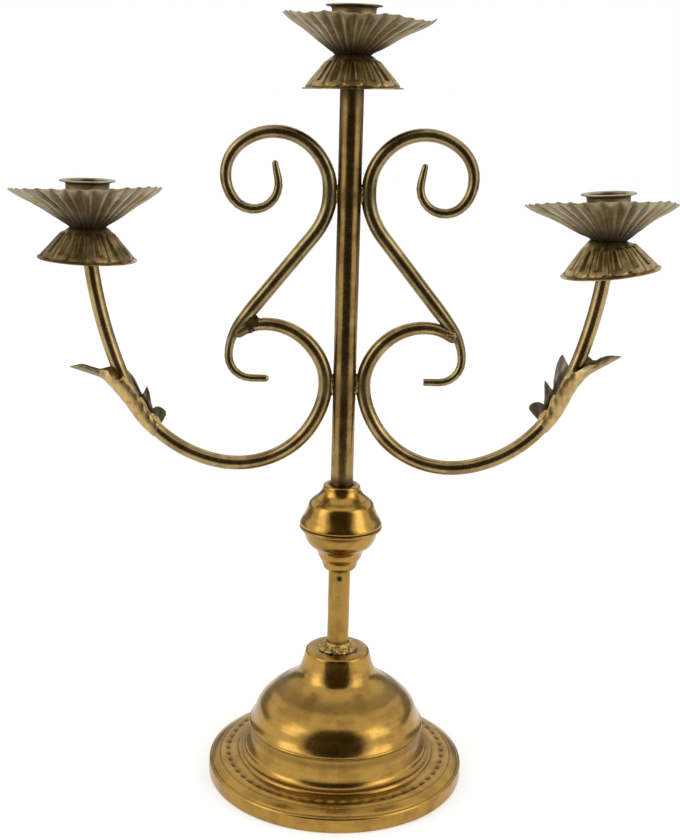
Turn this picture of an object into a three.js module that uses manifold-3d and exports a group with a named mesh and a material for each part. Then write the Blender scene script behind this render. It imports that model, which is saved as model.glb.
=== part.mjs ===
// A three-light candle holder in aged brass: a spun bell foot, a tube stem with a hollow knop,
// two forged arms with leaves, two scrolls, and three cups, each a skirt, a drip pan and a socket.
// Lengths are millimetres and angles are degrees. +Z is up, -Y is the front, +X is the viewer's right,
// and the origin is the middle of the foot, on the surface that it stands on.
import * as THREE from "three";
import { mergeVertices } from "three/addons/utils/BufferGeometryUtils.js";
import Module from "manifold-3d";

const wasm = await Module();
wasm.setup();

// Gaps and cuts.
const clearance = 0.3; // between pieces that touch
const overrun = 1; // how far a cutting tool runs past what it cuts
const weldDistance = 0.001; // points closer than this are one point

// Foot: one spun shell, from the hole under the stem out to the hemmed rim.
const footSheet = 1.2;
const footHeight = 76.5;
const neckTopRadius = 18.8;
const neckEdgeRadius = 3.2;
const neckFootRadius = 22.4;
const neckFootHeight = 62.5;
const shoulderRadius = 46.6;
const shoulderHeight = 41;
const crownShares = { radius: 0.6, height: 0.45, bend: 0.45, drop: 0.6 }; // of neck foot to shoulder
const beadRadius = 50.6;
const beadHeight = 31.6;
const beadStep = 0.9;
const bellMouthRadius = 56;
const bellMouthHeight = 13.6;
const bandFlareShare = 0.35; // of the way up from the mouth to the bead
const flangeCrownRadius = 62.7;
const flangeCrownHeight = 12.8;
const rimRadius = 74.3;
const rimHeight = 8.6;
const rimGroove = 0.9;
const hemWidth = 5;

// Stem: two tubes that meet inside the knop, held down on the foot by one threaded rod.
const stemRadius = 6.35;
const lowerStemRadius = 6.2;
const stemWall = 1;
const stemTopHeight = 407.6;
const stemJointHeight = 151.8;
const plugLength = 14;
const footPlugLength = 18;
const tieRodRadius = 3;
const tieRodReach = 14; // how far the rod goes into the plug above the joint
const nutHeight = 5;
const nutAcrossFlats = 10;
const washerRadius = 13;
const washerThickness = 2;
const rodTail = 2; // what shows of the rod under the nut
const solderRadius = 11.2;
const solderHeight = 3.4;

// Knop: two pressed halves soldered at the widest ring, where the two tubes meet. Its rises and
// drops are measured from there.
const knopSheet = 1;
const knopRadius = 23.4;
const knopTopRise = 23.8;
const knopCollarRadius = 10.4;
const knopCreaseRadius = 14.6;
const knopCreaseRise = 15.8;
const knopShoulderRadius = 18.9;
const knopShoulderRise = 11.2;
const knopBandRadius = 17.6;
const knopBandDrop = 11.4;
const knopConeRadius = 12.2;
const knopConeDrop = 16.4;
const knopBottomRadius = 9.4;
const knopBottomDrop = 26.4;

// Arms: a round bar from each cup, down and round, up to the stem and over to the scroll.
const barRadius = 4;
const brazeFilm = 0.2; // thickness of braze where two bars are closest
const brazeLength = 6; // half sizes of a braze lump: along the joint, across it, and to each side
const brazeDepth = 4;
const brazeReach = 2.6;
const armContactHeight = 233.4;
const armStemRadius = 46;
const armStemTurn = 56;
const armUnderRadius = 51;
const armUnderTurn = 36;
const armBottomRadius = 66;
const armBottomTurn = 30;
const armElbowRadius = 73;
const armElbowTurn = 40;
const armRiseRadius = 350;
const armRiseTurn = 11;
const armUprightRadius = 66;
const armNeck = 5.3; // straight and upright, under the cup
const armCrookRadius = 32.5;
const armCrookTurn = 91;
const armHookRadius = 25;
const armHookTurn = 62;
const armHookEndRadius = 3;
const armTaperLength = 62;

// Scrolls: one bar each, curled at both ends, that touches the stem and lies on the arm's crook.
const scrollContactHeight = 337;
const scrollRest = 3.4; // straight stretch above the contact
const scrollTopRadius = 28.8;
const scrollTopTurn = 133;
const scrollSideRadius = 20.9;
const scrollSideTurn = 85;
const scrollEyeRadius = 13.4;
const scrollEyeTurn = 148;
const scrollTail = 10.5;
const scrollTipRadius = 1.6;
const scrollTaperLength = 150;
const scrollHipRadius = 36.5;
const scrollHipTurn = 38.9;
const scrollSlope = 61;
const scrollKneeRadius = 30;
const scrollCurlRadius = 12.3;
const scrollCurlTail = 8;
const curlTipRadius = 2;
const curlNeckRadius = 2.4;
const curlThinLength = 32;
const curlSwellLength = 30;

// Leaves: a thin lobed leaf folded round the outside of each arm, with its tip curled away.
const leafSheet = 0.7;
const leafGap = 0.5; // from the arm to the midrib
// Foot is the run from the arm's cup end to the leaf's foot, and lies is the run along the arm
// before the leaf bends away from it.
const leafPlaces = {
  right: { foot: 108, lies: 14 },
  left: { foot: 121, lies: 18 },
};
const leafBackRadius = 140;
const leafBackTurn = 9;
const leafTipRadius = 12;
const leafTipTurn = 28;
const leafTipLength = 17;
const leafHalfWidth = 21.5; // from the midrib to the tips of the lobes, along the sheet
const leafFoldRadius = 5.4;
const leafFoldTurn = 125; // from the midrib to where the lobes stand off
const leafOpenTurn = 95; // the same, at the hollow that faces the cup
const leafFoldedShare = 0.9; // the most of the half width that lies in the fold
const leafLobeFlare = 35;
const leafOpenRadius = 10; // of that hollow
const leafChannelRadius = 3.2; // of the fold in the tip
const leafLobeLean = 0.6; // how far a lobe's edge leans to the tip, for each mm of its width
const leafLeanStart = 8; // the round lobe at the foot doesn't lean
const leafLeanEnd = 13;

// The leaf's edge: the share of its length from the foot, and the share of its half width there.
const leafEdgeShares = [
  [0, 0.1],
  [0.02, 0.31],
  [0.034, 0.51],
  [0.044, 0.72],
  [0.06, 0.86],
  [0.107, 0.92],
  [0.155, 0.86],
  [0.178, 0.63],
  [0.25, 0.8],
  [0.335, 0.94],
  [0.35, 0.65],
  [0.43, 0.79],
  [0.56, 1],
  [0.575, 0.68],
  [0.61, 0.56],
  [0.69, 0.51],
  [0.72, 0.36],
  [0.77, 0.28],
  [0.87, 0.26],
  [0.94, 0.18],
  [1, 0.04],
];

// Cups: the stack on each bar end, from below: skirt, drip pan, socket, screw.
const cupSheet = 0.6;
const skirtSeatRadius = 9.2;
const skirtShoulderRadius = 13;
const skirtShoulderDrop = 2.4;
const skirtHemRadius = 24.2;
const skirtHemDrop = 15;
const skirtLipRadius = 26.8;
const skirtLipDrop = 16.4;
const skirtPanels = 14;
const skirtPanelDepth = 0.8;
const skirtPanelShares = { start: 0.1, span: 0.8, middle: 0.5 }; // of the slope, and of the depth
const panSeatRadius = 9.2;
const panRadius = 42.3;
const panHeight = 19.4;
const panBow = 1.4; // how far the flare stands above a straight line, mid-way
const panFlutes = 32;
const panFluteDepth = 0.75;
const panLobes = 8;
const panLobeDepth = 1.5;
const candleRadius = 11; // a standard 22 mm candle
const socketWall = 0.6;
const socketFloor = 1;
const socketDish = 0.5; // depth of the dish in the floor that the screw's head sits in
const socketSeatRadius = 8.2;
const socketRise = 2.6; // height of the slope between floor and wall
const socketHeight = 24.6;
const socketFlangeRadius = 14.9;
const socketFlangeThickness = 1;
const screwRadius = 2;
const screwHeadRadius = 3.6;
const screwHeadHeight = 2.2;
const screwSlotWidth = 0.9;
const screwSlotDepth = 1.1;
const screwBite = 8; // how far the screw goes into what holds it
const holeDepth = 11;

// How finely round things are divided.
const footSegments = 32;
const knopSegments = 22;
const tubeSegments = 20;
const socketSegments = 18;
const smallSegments = 12;
const nutSides = 6;
const skirtPanelSides = 3;
const leafColumns = 4; // to each side of the midrib
const barSides = 8;
const barStepTurn = 14;
const curveDivisions = 2;

const up = Math.PI / 2;
const screwHole = screwRadius + clearance;
const radians = THREE.MathUtils.degToRad;

// Materials: each mesh has its own, from one of these finishes.
const finishes = {
  goldenBrass: { color: 0xa87a2c, roughness: 0.38, metalness: 1 },
  oliveBrass: { color: 0x8a7038, roughness: 0.42, metalness: 1 },
  greyBrass: { color: 0x7d6a45, roughness: 0.5, metalness: 1 },
  braze: { color: 0x8f7a45, roughness: 0.6, metalness: 1 },
  steel: { color: 0x9a9a98, roughness: 0.4, metalness: 1 },
};

function piece(name, finish, geometry) {
  const mesh = new THREE.Mesh(geometry, new THREE.MeshStandardMaterial(finishes[finish]));
  mesh.name = name;
  return mesh;
}

// Booleans.
function solidOf(geometry) {
  const bare = geometry.clone();
  bare.deleteAttribute("normal");
  bare.deleteAttribute("uv");
  const merged = mergeVertices(bare, weldDistance);
  return new wasm.Manifold(
    new wasm.Mesh({
      numProp: 3,
      vertProperties: merged.attributes.position.array,
      triVerts: new Uint32Array(merged.index.array),
    }),
  );
}

function geometryOf(solid) {
  const { numProp, vertProperties, triVerts } = solid.getMesh();
  const positions = [];
  for (let i = 0; i < vertProperties.length; i += numProp) {
    positions.push(vertProperties[i], vertProperties[i + 1], vertProperties[i + 2]);
  }
  const geometry = new THREE.BufferGeometry();
  geometry.setAttribute("position", new THREE.Float32BufferAttribute(positions, 3));
  geometry.setIndex(Array.from(triVerts));
  return geometry;
}

// What is left of a piece after the tools have cut it: the largest body, without loose slivers.
function cutBy(geometry, ...tools) {
  let solid = solidOf(geometry);
  for (const tool of tools) solid = solid.subtract(solidOf(tool));
  const bodies = solid.decompose();
  bodies.sort((a, b) => b.volume() - a.volume());
  return geometryOf(bodies[0]);
}

// Surfaces of revolution about Z, from outline points of radius and height.
function spun(outline, segments) {
  const area = THREE.ShapeUtils.area(outline);
  const profile = area > 0 ? outline.slice() : outline.slice().reverse();
  profile.push(profile[0].clone());
  return new THREE.LatheGeometry(profile, segments).rotateX(up);
}

function ringOutline(innerRadius, outerRadius, bottom, top) {
  return [
    new THREE.Vector2(innerRadius, bottom),
    new THREE.Vector2(outerRadius, bottom),
    new THREE.Vector2(outerRadius, top),
    new THREE.Vector2(innerRadius, top),
  ];
}

// The other face of a sheet: each point moved square to the outline, to the right of its direction,
// and kept out of the hole in the middle.
function otherFace(outline, sheet, hole) {
  return outline.map((point, i) => {
    const before = outline[Math.max(i - 1, 0)];
    const after = outline[Math.min(i + 1, outline.length - 1)];
    const into = point.clone().sub(before).normalize();
    const out = after.clone().sub(point).normalize();
    const along = into.add(out).normalize();
    return new THREE.Vector2(Math.max(point.x + along.y * sheet, hole), point.y - along.x * sheet);
  });
}

function sheetOutline(outline, sheet, hole) {
  return [...outline, ...otherFace(outline, sheet, hole).reverse()];
}

// A closed body through a row of rings; each end is closed by a fan.
function lofted(rings) {
  const sides = rings[0].length;
  const positions = rings.flat().flatMap((point) => point.toArray());
  const faces = [];
  for (let row = 0; row + 1 < rings.length; row += 1) {
    for (let side = 0; side < sides; side += 1) {
      const next = (side + 1) % sides;
      const a = row * sides + side;
      const b = row * sides + next;
      faces.push(a, b, a + sides, b, b + sides, a + sides);
    }
  }
  const last = (rings.length - 1) * sides;
  for (let side = 1; side + 1 < sides; side += 1) {
    faces.push(0, side + 1, side);
    faces.push(last, last + side, last + side + 1);
  }
  const geometry = new THREE.BufferGeometry();
  geometry.setAttribute("position", new THREE.Float32BufferAttribute(positions, 3));
  geometry.setIndex(faces);
  return geometry;
}

// A bent bar's centreline in the XZ plane. A stretch is a straight length or a tangent arc, and a
// positive turn is to the left of the way ahead.
function bentLine(x, z, heading, stretches) {
  const line = [{ x, z, heading, run: 0 }];
  for (const { length, radius, turn } of stretches) {
    const start = line[line.length - 1];
    const steps = turn ? Math.max(2, Math.ceil(Math.abs(turn) / barStepTurn)) : 1;
    for (let step = 1; step <= steps; step += 1) {
      const share = step / steps;
      if (!turn) {
        const ahead = radians(start.heading);
        line.push({
          x: start.x + length * Math.cos(ahead),
          z: start.z + length * Math.sin(ahead),
          heading: start.heading,
          run: start.run + length,
        });
        continue;
      }
      const side = Math.sign(turn);
      const from = radians(start.heading);
      const to = radians(start.heading + turn * share);
      line.push({
        x: start.x + side * radius * (Math.sin(to) - Math.sin(from)),
        z: start.z - side * radius * (Math.cos(to) - Math.cos(from)),
        heading: start.heading + turn * share,
        run: start.run + radius * radians(Math.abs(turn) * share),
      });
    }
  }
  return line;
}

// Two lines that leave one point opposite ways, joined into one that runs from the first line's end.
function joinedLine(first, second) {
  const whole = first[first.length - 1].run;
  const back = first.map((p) => ({ ...p, heading: p.heading + 180, run: whole - p.run }));
  const ahead = second.slice(1).map((p) => ({ ...p, run: whole + p.run }));
  return [...back.reverse(), ...ahead];
}

// A round bar along a line, with a radius that follows the run. Its ends are slightly eased.
function bar(line, radiusAt, grow = 0) {
  const whole = line[line.length - 1].run;
  const ring = (place, radius, ahead) => {
    const angle = radians(place.heading);
    const forward = new THREE.Vector3(Math.cos(angle), 0, Math.sin(angle));
    const across = new THREE.Vector3(-Math.sin(angle), 0, Math.cos(angle));
    const centre = new THREE.Vector3(place.x, 0, place.z).addScaledVector(forward, ahead);
    return Array.from({ length: barSides }, (_, side) => {
      const around = (2 * Math.PI * side) / barSides;
      return centre
        .clone()
        .addScaledVector(across, radius * Math.cos(around))
        .add(new THREE.Vector3(0, -radius * Math.sin(around), 0));
    });
  };
  const rings = line.map((place) => ring(place, radiusAt(place.run, whole) + grow, 0));
  const easedShare = 0.6;
  const tip = radiusAt(whole, whole) + grow;
  rings.push(ring(line[line.length - 1], tip * easedShare, tip * (1 - easedShare)));
  return lofted(rings);
}

function cylinder(radius, bottom, top, segments) {
  return new THREE.CylinderGeometry(radius, radius, top - bottom, segments)
    .rotateX(up)
    .translate(0, 0, (bottom + top) / 2);
}

// Foot
function footOutline() {
  const path = new THREE.Path();
  path.moveTo(tieRodRadius + clearance, footHeight);
  path.lineTo(neckTopRadius - neckEdgeRadius, footHeight);
  path.quadraticCurveTo(neckTopRadius, footHeight, neckTopRadius, footHeight - neckEdgeRadius);
  path.quadraticCurveTo(
    neckTopRadius + (neckFootRadius - neckTopRadius) / 2,
    (footHeight + neckFootHeight) / 2,
    neckFootRadius,
    neckFootHeight,
  );
  const crownRadius = THREE.MathUtils.lerp(neckFootRadius, shoulderRadius, crownShares.radius);
  const crownHeight = THREE.MathUtils.lerp(shoulderHeight, neckFootHeight, crownShares.height);
  path.quadraticCurveTo(
    THREE.MathUtils.lerp(neckFootRadius, crownRadius, crownShares.bend),
    THREE.MathUtils.lerp(neckFootHeight, crownHeight, crownShares.bend),
    crownRadius,
    crownHeight,
  );
  path.quadraticCurveTo(
    shoulderRadius,
    THREE.MathUtils.lerp(shoulderHeight, crownHeight, crownShares.drop),
    shoulderRadius,
    shoulderHeight,
  );
  path.quadraticCurveTo(
    shoulderRadius + beadStep,
    beadHeight + (shoulderHeight - beadHeight) / 3,
    beadRadius,
    beadHeight,
  );
  path.lineTo(beadRadius - beadStep, beadHeight - beadStep);
  path.quadraticCurveTo(
    beadRadius,
    THREE.MathUtils.lerp(bellMouthHeight, beadHeight, bandFlareShare),
    bellMouthRadius - beadStep,
    bellMouthHeight + beadStep,
  );
  path.lineTo(bellMouthRadius + beadStep, bellMouthHeight - beadStep / 2);
  path.lineTo(flangeCrownRadius, flangeCrownHeight);
  path.quadraticCurveTo(
    (flangeCrownRadius + rimRadius) / 2,
    flangeCrownHeight,
    rimRadius - 2 * rimGroove,
    rimHeight + rimGroove / 2,
  );
  path.lineTo(rimRadius - rimGroove, rimHeight - rimGroove / 2);
  path.lineTo(rimRadius, rimHeight - 2 * rimGroove);
  path.lineTo(rimRadius, 0);
  const outer = path.getPoints(curveDivisions);
  const inner = otherFace(outer, footSheet, tieRodRadius + clearance);
  const hem = rimRadius - hemWidth;
  inner[inner.length - 1].set(rimRadius - footSheet, footSheet);
  return [
    ...outer,
    new THREE.Vector2(hem, 0),
    new THREE.Vector2(hem, footSheet),
    ...inner.reverse(),
  ];
}

function addFoot(group) {
  const seat = footHeight - footSheet - clearance;
  const nutTop = seat - washerThickness - clearance;
  const nutBottom = nutTop - nutHeight;
  const rodHole = tieRodRadius + clearance;
  const cornerRadius = nutAcrossFlats / 2 / Math.cos(Math.PI / nutSides);
  const nut = cutBy(
    cylinder(cornerRadius, nutBottom, nutTop, nutSides),
    cylinder(rodHole, nutBottom - overrun, nutTop + overrun, smallSegments),
  );
  group.add(
    piece("base_bell", "goldenBrass", spun(footOutline(), footSegments)),
    piece(
      "base_washer",
      "steel",
      spun(ringOutline(rodHole, washerRadius, seat - washerThickness, seat), tubeSegments),
    ),
    piece("base_nut", "steel", nut),
    piece(
      "tie_rod",
      "steel",
      cylinder(tieRodRadius, nutBottom - rodTail, stemJointHeight + tieRodReach, smallSegments),
    ),
  );
}

// Stem and knop
function knopHalf(hole, points) {
  const path = new THREE.Path();
  path.moveTo(...points[0]);
  for (const point of points.slice(1)) {
    if (point.length === 4) path.quadraticCurveTo(...point);
    else path.lineTo(...point);
  }
  return spun(sheetOutline(path.getPoints(curveDivisions), knopSheet, hole), knopSegments);
}

function addStem(group) {
  const foot = footHeight + clearance;
  const jointBottom = stemJointHeight - clearance / 2;
  const jointTop = stemJointHeight + clearance / 2;
  const knopTop = jointTop + knopTopRise;
  const crease = jointTop + knopCreaseRise;
  const shoulder = jointTop + knopShoulderRise;
  const band = jointBottom - knopBandDrop;
  const cone = jointBottom - knopConeDrop;
  const knopBottom = jointBottom - knopBottomDrop;
  const bore = stemRadius - stemWall;
  const lowerBore = lowerStemRadius - stemWall;
  const rodHole = tieRodRadius + clearance;
  const solderBore = lowerStemRadius + clearance;
  const solder = [
    new THREE.Vector2(solderBore, foot),
    new THREE.Vector2(solderRadius, foot),
    new THREE.Vector2((solderBore + solderRadius) / 2, foot + solderHeight / 3),
    new THREE.Vector2(solderBore + clearance, foot + solderHeight),
    new THREE.Vector2(solderBore, foot + solderHeight),
  ];
  group.add(
    piece("stem_solder_ring", "braze", spun(solder, tubeSegments)),
    piece(
      "lower_stem_tube",
      "goldenBrass",
      spun(ringOutline(lowerBore, lowerStemRadius, foot, jointBottom), tubeSegments),
    ),
    piece(
      "upper_stem_tube",
      "oliveBrass",
      spun(ringOutline(bore, stemRadius, jointTop, stemTopHeight), tubeSegments),
    ),
    piece(
      "upper_stem_foot_plug",
      "goldenBrass",
      spun(
        ringOutline(rodHole, bore - clearance, jointTop, jointTop + footPlugLength),
        smallSegments,
      ),
    ),
    piece(
      "stem_top_plug",
      "goldenBrass",
      spun(
        ringOutline(screwHole, bore - clearance, stemTopHeight - plugLength, stemTopHeight),
        smallSegments,
      ),
    ),
    piece(
      "knop_upper_half",
      "goldenBrass",
      knopHalf(stemRadius + clearance, [
        [stemRadius + clearance, knopTop],
        [knopCollarRadius - knopSheet, knopTop],
        [knopCollarRadius, knopTop - knopSheet],
        [knopCollarRadius + knopSheet, (knopTop + crease) / 2, knopCreaseRadius, crease],
        [knopShoulderRadius - knopSheet, crease - knopSheet, knopShoulderRadius, shoulder],
        [knopShoulderRadius + knopSheet, (shoulder + jointTop) / 2,
          knopRadius, jointTop + knopSheet],
        [knopRadius, jointTop],
      ]),
    ),
    piece(
      "knop_lower_half",
      "goldenBrass",
      knopHalf(lowerStemRadius + clearance, [
        [knopRadius, jointBottom],
        [knopRadius, jointBottom - knopSheet / 2],
        [knopRadius - knopSheet, jointBottom - 2 * knopSheet],
        [knopBandRadius + 2 * knopSheet, (jointBottom + band) / 2, knopBandRadius, band],
        [knopConeRadius + knopSheet, cone + knopSheet, knopConeRadius, cone],
        [knopBottomRadius + knopSheet / 2, (cone + knopBottom) / 2, knopBottomRadius, knopBottom],
        [lowerStemRadius + clearance, knopBottom - knopSheet],
      ]),
    ),
  );
}

// Arms and scrolls, drawn for the right-hand side
const standOff = 2 * clearance + brazeFilm;
const contactX = stemRadius + standOff + barRadius;

function armLine() {
  const turned = armStemTurn + armUnderTurn + armBottomTurn + armElbowTurn + armRiseTurn;
  const down = bentLine(contactX, armContactHeight, -90, [
    { radius: armStemRadius, turn: armStemTurn },
    { radius: armUnderRadius, turn: armUnderTurn },
    { radius: armBottomRadius, turn: armBottomTurn },
    { radius: armElbowRadius, turn: armElbowTurn },
    { radius: armRiseRadius, turn: armRiseTurn },
    { radius: armUprightRadius, turn: 180 - turned },
    { length: armNeck },
  ]);
  const crook = bentLine(contactX, armContactHeight, 90, [
    { radius: armCrookRadius, turn: -armCrookTurn },
    { radius: armHookRadius, turn: -armHookTurn },
  ]);
  return joinedLine(down, crook);
}

function armRadius(run, whole) {
  const share = Math.min((whole - run) / armTaperLength, 1);
  return THREE.MathUtils.lerp(armHookEndRadius, barRadius, share);
}

function scrollLine() {
  const top = bentLine(contactX, scrollContactHeight, 90, [
    { length: scrollRest },
    { radius: scrollTopRadius, turn: -scrollTopTurn },
    { radius: scrollSideRadius, turn: -scrollSideTurn },
    { radius: scrollEyeRadius, turn: -scrollEyeTurn },
    { length: scrollTail },
  ]);
  const slope = bentLine(contactX, scrollContactHeight, -90, [
    { radius: scrollHipRadius, turn: scrollHipTurn },
    { length: scrollSlope },
    { radius: scrollKneeRadius, turn: -scrollHipTurn },
    { radius: scrollCurlRadius, turn: -90 },
    { length: scrollCurlTail },
  ]);
  return joinedLine(top, slope);
}

function scrollRadius(run, whole) {
  const fromTop = Math.min(run / scrollTaperLength, 1);
  const drawnShare = 0.55;
  const top = THREE.MathUtils.lerp(scrollTipRadius, barRadius, fromTop ** drawnShare);
  const left = whole - run;
  const thin = THREE.MathUtils.lerp(curlTipRadius, curlNeckRadius, Math.min(left / curlThinLength, 1));
  const swell = THREE.MathUtils.smoothstep(left, curlThinLength, curlThinLength + curlSwellLength);
  return Math.min(top, THREE.MathUtils.lerp(thin, barRadius, swell));
}

// A lump of braze: an egg shape round a joint, cleared of the pieces that it joins.
function brazeLump(x, z, halfSizes, lean, ...joined) {
  const egg = new THREE.SphereGeometry(1, smallSegments, smallSegments / 2)
    .scale(...halfSizes)
    .rotateY(-radians(lean))
    .translate(x, 0, z);
  return cutBy(egg, ...joined);
}

// The place on the arm's crook where its end meets the side of the scroll.
function meetingPoint(arm, scroll) {
  const half = arm.length / 2;
  const gaps = arm.slice(half).map((place) => {
    const near = scroll.map((spot) => Math.hypot(spot.x - place.x, spot.z - place.z));
    return { place, gap: Math.min(...near) };
  });
  gaps.sort((a, b) => Math.abs(a.gap - barRadius) - Math.abs(b.gap - barRadius));
  return gaps[0].place;
}

// Leaf: the midrib runs along the outside of the arm, leaves it slowly, and curls away at the tip.
const midribOut = barRadius + leafGap + leafSheet;
const leafBackLength = leafBackRadius * radians(leafBackTurn);
const leafTipArc = leafTipRadius * radians(leafTipTurn);

// The place at one run of a bent line, between its two nearest points.
function placeAt(line, run) {
  const next = line.findIndex((place) => place.run >= run);
  const after = line[next];
  const before = line[next - 1];
  const share = (run - before.run) / (after.run - before.run);
  return {
    x: THREE.MathUtils.lerp(before.x, after.x, share),
    z: THREE.MathUtils.lerp(before.z, after.z, share),
    heading: THREE.MathUtils.lerp(before.heading, after.heading, share),
  };
}

// How far a leaf has gone ahead and out from the arm, and turned, past where it leaves the arm.
function leafPath(past) {
  let ahead = 0;
  let out = 0;
  let turn = 0;
  let left = past;
  for (const [radius, angle] of [[leafBackRadius, leafBackTurn], [leafTipRadius, leafTipTurn]]) {
    const swept = Math.min(left / radius, radians(angle));
    ahead += radius * (Math.sin(turn + swept) - Math.sin(turn));
    out += radius * (Math.cos(turn) - Math.cos(turn + swept));
    turn += swept;
    left -= radius * swept;
  }
  return { ahead: ahead + left * Math.cos(turn), out: out + left * Math.sin(turn), turn };
}

// A point of the midrib, with the ways out from the arm and ahead to the tip there.
function midribAt(line, foot, lies, distance) {
  const place = placeAt(line, foot - Math.min(distance, lies));
  const angle = radians(place.heading);
  const out = new THREE.Vector3(-Math.sin(angle), 0, Math.cos(angle));
  const ahead = new THREE.Vector3(-Math.cos(angle), 0, -Math.sin(angle));
  const gone = leafPath(Math.max(distance - lies, 0));
  const turn = gone.turn;
  const spot = new THREE.Vector3(place.x, 0, place.z)
    .addScaledVector(out, midribOut + gone.out)
    .addScaledVector(ahead, gone.ahead);
  return {
    spot,
    out: out.clone().multiplyScalar(Math.cos(turn)).addScaledVector(ahead, -Math.sin(turn)),
    ahead: ahead.clone().multiplyScalar(Math.cos(turn)).addScaledVector(out, Math.sin(turn)),
  };
}

// The fold opens to a hollow at the leaf's top, and closes again to a channel in the tip.
function foldAt(distance, top) {
  const opened = THREE.MathUtils.smoothstep(distance, 0, top);
  const closed = THREE.MathUtils.smoothstep(distance, top, top + leafTipArc);
  const wide = THREE.MathUtils.lerp(leafFoldRadius, leafOpenRadius, opened);
  return {
    fold: THREE.MathUtils.lerp(wide, leafChannelRadius, closed),
    most: radians(THREE.MathUtils.lerp(leafFoldTurn, leafOpenTurn, opened)),
  };
}

function leafSolid(line, foot, lies) {
  const top = lies + leafBackLength;
  const whole = top + leafTipArc + leafTipLength;
  const face = (lift) =>
    leafEdgeShares.map(([lengthShare, widthShare]) => {
      const distance = lengthShare * whole;
      const { spot, out, ahead } = midribAt(line, foot, lies, distance);
      const { fold, most } = foldAt(distance, top);
      const lean = leafLobeLean * THREE.MathUtils.smoothstep(distance, leafLeanStart, leafLeanEnd);
      const halfWidth = widthShare * leafHalfWidth;
      const folded = Math.min(halfWidth * leafFoldedShare, fold * most);
      return Array.from({ length: 2 * leafColumns + 1 }, (_, index) => {
        const column = Math.abs(index - leafColumns);
        const width = column === leafColumns ? halfWidth : (folded * column) / (leafColumns - 1);
        const bend = Math.min(width / fold, most);
        const rest = width - fold * bend;
        const facing = bend - (rest > 0 ? radians(leafLobeFlare) : 0);
        const outward = fold * Math.cos(bend) - rest * Math.sin(facing) + lift * Math.cos(facing);
        const sideways = fold * Math.sin(bend) + rest * Math.cos(facing) + lift * Math.sin(facing);
        return spot
          .clone()
          .addScaledVector(out, outward - fold)
          .addScaledVector(ahead, rest * lean)
          .add(new THREE.Vector3(0, Math.sign(index - leafColumns) * sideways, 0));
      });
    });
  const outerRows = face(0);
  const innerRows = face(-leafSheet);
  return lofted(outerRows.map((row, i) => [...row, ...innerRows[i].slice().reverse()]));
}

function addSide(group, side) {
  const { foot, lies } = leafPlaces[side];
  const arm = armLine();
  const scroll = scrollLine();
  const scrollTool = bar(scroll, scrollRadius, clearance);
  const armTool = bar(arm, armRadius, clearance);
  const end = arm[0];
  const hole = cylinder(screwHole, end.z - holeDepth, end.z + overrun, smallSegments)
    .translate(end.x, 0, 0);
  const copeTool = bar(scroll, scrollRadius, standOff);
  const armSolid = cutBy(bar(arm, armRadius), copeTool, hole);
  const stemTool = cylinder(stemRadius + clearance, stemJointHeight, stemTopHeight, tubeSegments);
  const filmX = stemRadius + standOff / 2;
  const stemLump = [brazeReach, brazeDepth, brazeLength];
  const joint = meetingPoint(arm, scroll);
  const jointLump = [brazeLength, brazeDepth, brazeDepth];
  group.add(
    piece(side + "_arm", "oliveBrass", armSolid),
    piece(side + "_scroll", "oliveBrass", bar(scroll, scrollRadius)),
    piece(side + "_leaf", "greyBrass", leafSolid(arm, foot, lies)),
    piece(
      side + "_arm_braze",
      "braze",
      brazeLump(filmX, armContactHeight, stemLump, 0, stemTool, armTool),
    ),
    piece(
      side + "_scroll_braze",
      "braze",
      brazeLump(filmX, scrollContactHeight, stemLump, 0, stemTool, scrollTool),
    ),
    piece(
      side + "_joint_braze",
      "braze",
      brazeLump(joint.x, joint.z, jointLump, joint.heading, armTool, scrollTool),
    ),
  );
  return end;
}

// Cups
function rippled(geometry, shift) {
  const position = geometry.getAttribute("position");
  for (let i = 0; i < position.count; i += 1) {
    const x = position.getX(i);
    const y = position.getY(i);
    const radius = Math.hypot(x, y);
    const { out, lift } = shift(radius, Math.atan2(y, x));
    const grown = (radius + out) / radius;
    position.setXYZ(i, x * grown, y * grown, position.getZ(i) + lift);
  }
  return geometry;
}

function skirtSolid() {
  const path = new THREE.Path();
  path.moveTo(screwHole, cupSheet);
  path.lineTo(skirtSeatRadius, cupSheet);
  path.quadraticCurveTo(
    skirtShoulderRadius - cupSheet,
    cupSheet,
    skirtShoulderRadius,
    -skirtShoulderDrop,
  );
  path.lineTo(skirtHemRadius, -skirtHemDrop);
  path.lineTo(skirtLipRadius, -skirtLipDrop);
  const outline = sheetOutline(path.getPoints(curveDivisions), cupSheet, screwHole);
  return rippled(spun(outline, skirtPanels * skirtPanelSides), (radius, angle) => {
    const { start, span, middle } = skirtPanelShares;
    const down = (radius - skirtShoulderRadius) / (skirtHemRadius - skirtShoulderRadius);
    const fade = Math.sin(Math.PI * THREE.MathUtils.clamp(start + down * span, 0, 1));
    const panel = Math.abs(Math.cos((angle * skirtPanels) / 2)) - middle;
    return { out: radius > skirtSeatRadius ? skirtPanelDepth * fade * panel : 0, lift: 0 };
  });
}

function panSolid() {
  const path = new THREE.Path();
  path.moveTo(screwHole, 0);
  path.lineTo(panSeatRadius, 0);
  path.quadraticCurveTo(
    (panSeatRadius + panRadius) / 2 - panBow,
    panHeight / 2 + panBow,
    panRadius - panBow,
    panHeight - panBow,
  );
  path.lineTo(panRadius, panHeight);
  const outline = sheetOutline(path.getPoints(curveDivisions), -cupSheet, screwHole);
  return rippled(spun(outline, 2 * panFlutes), (radius, angle) => {
    const out = Math.max((radius - panSeatRadius) / (panRadius - panSeatRadius), 0);
    const flutes = panFluteDepth * Math.sqrt(out) * Math.cos(angle * panFlutes);
    const lobes = panLobeDepth * out ** 3 * Math.cos(angle * panLobes);
    return { out: 0, lift: flutes + lobes };
  });
}

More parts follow.
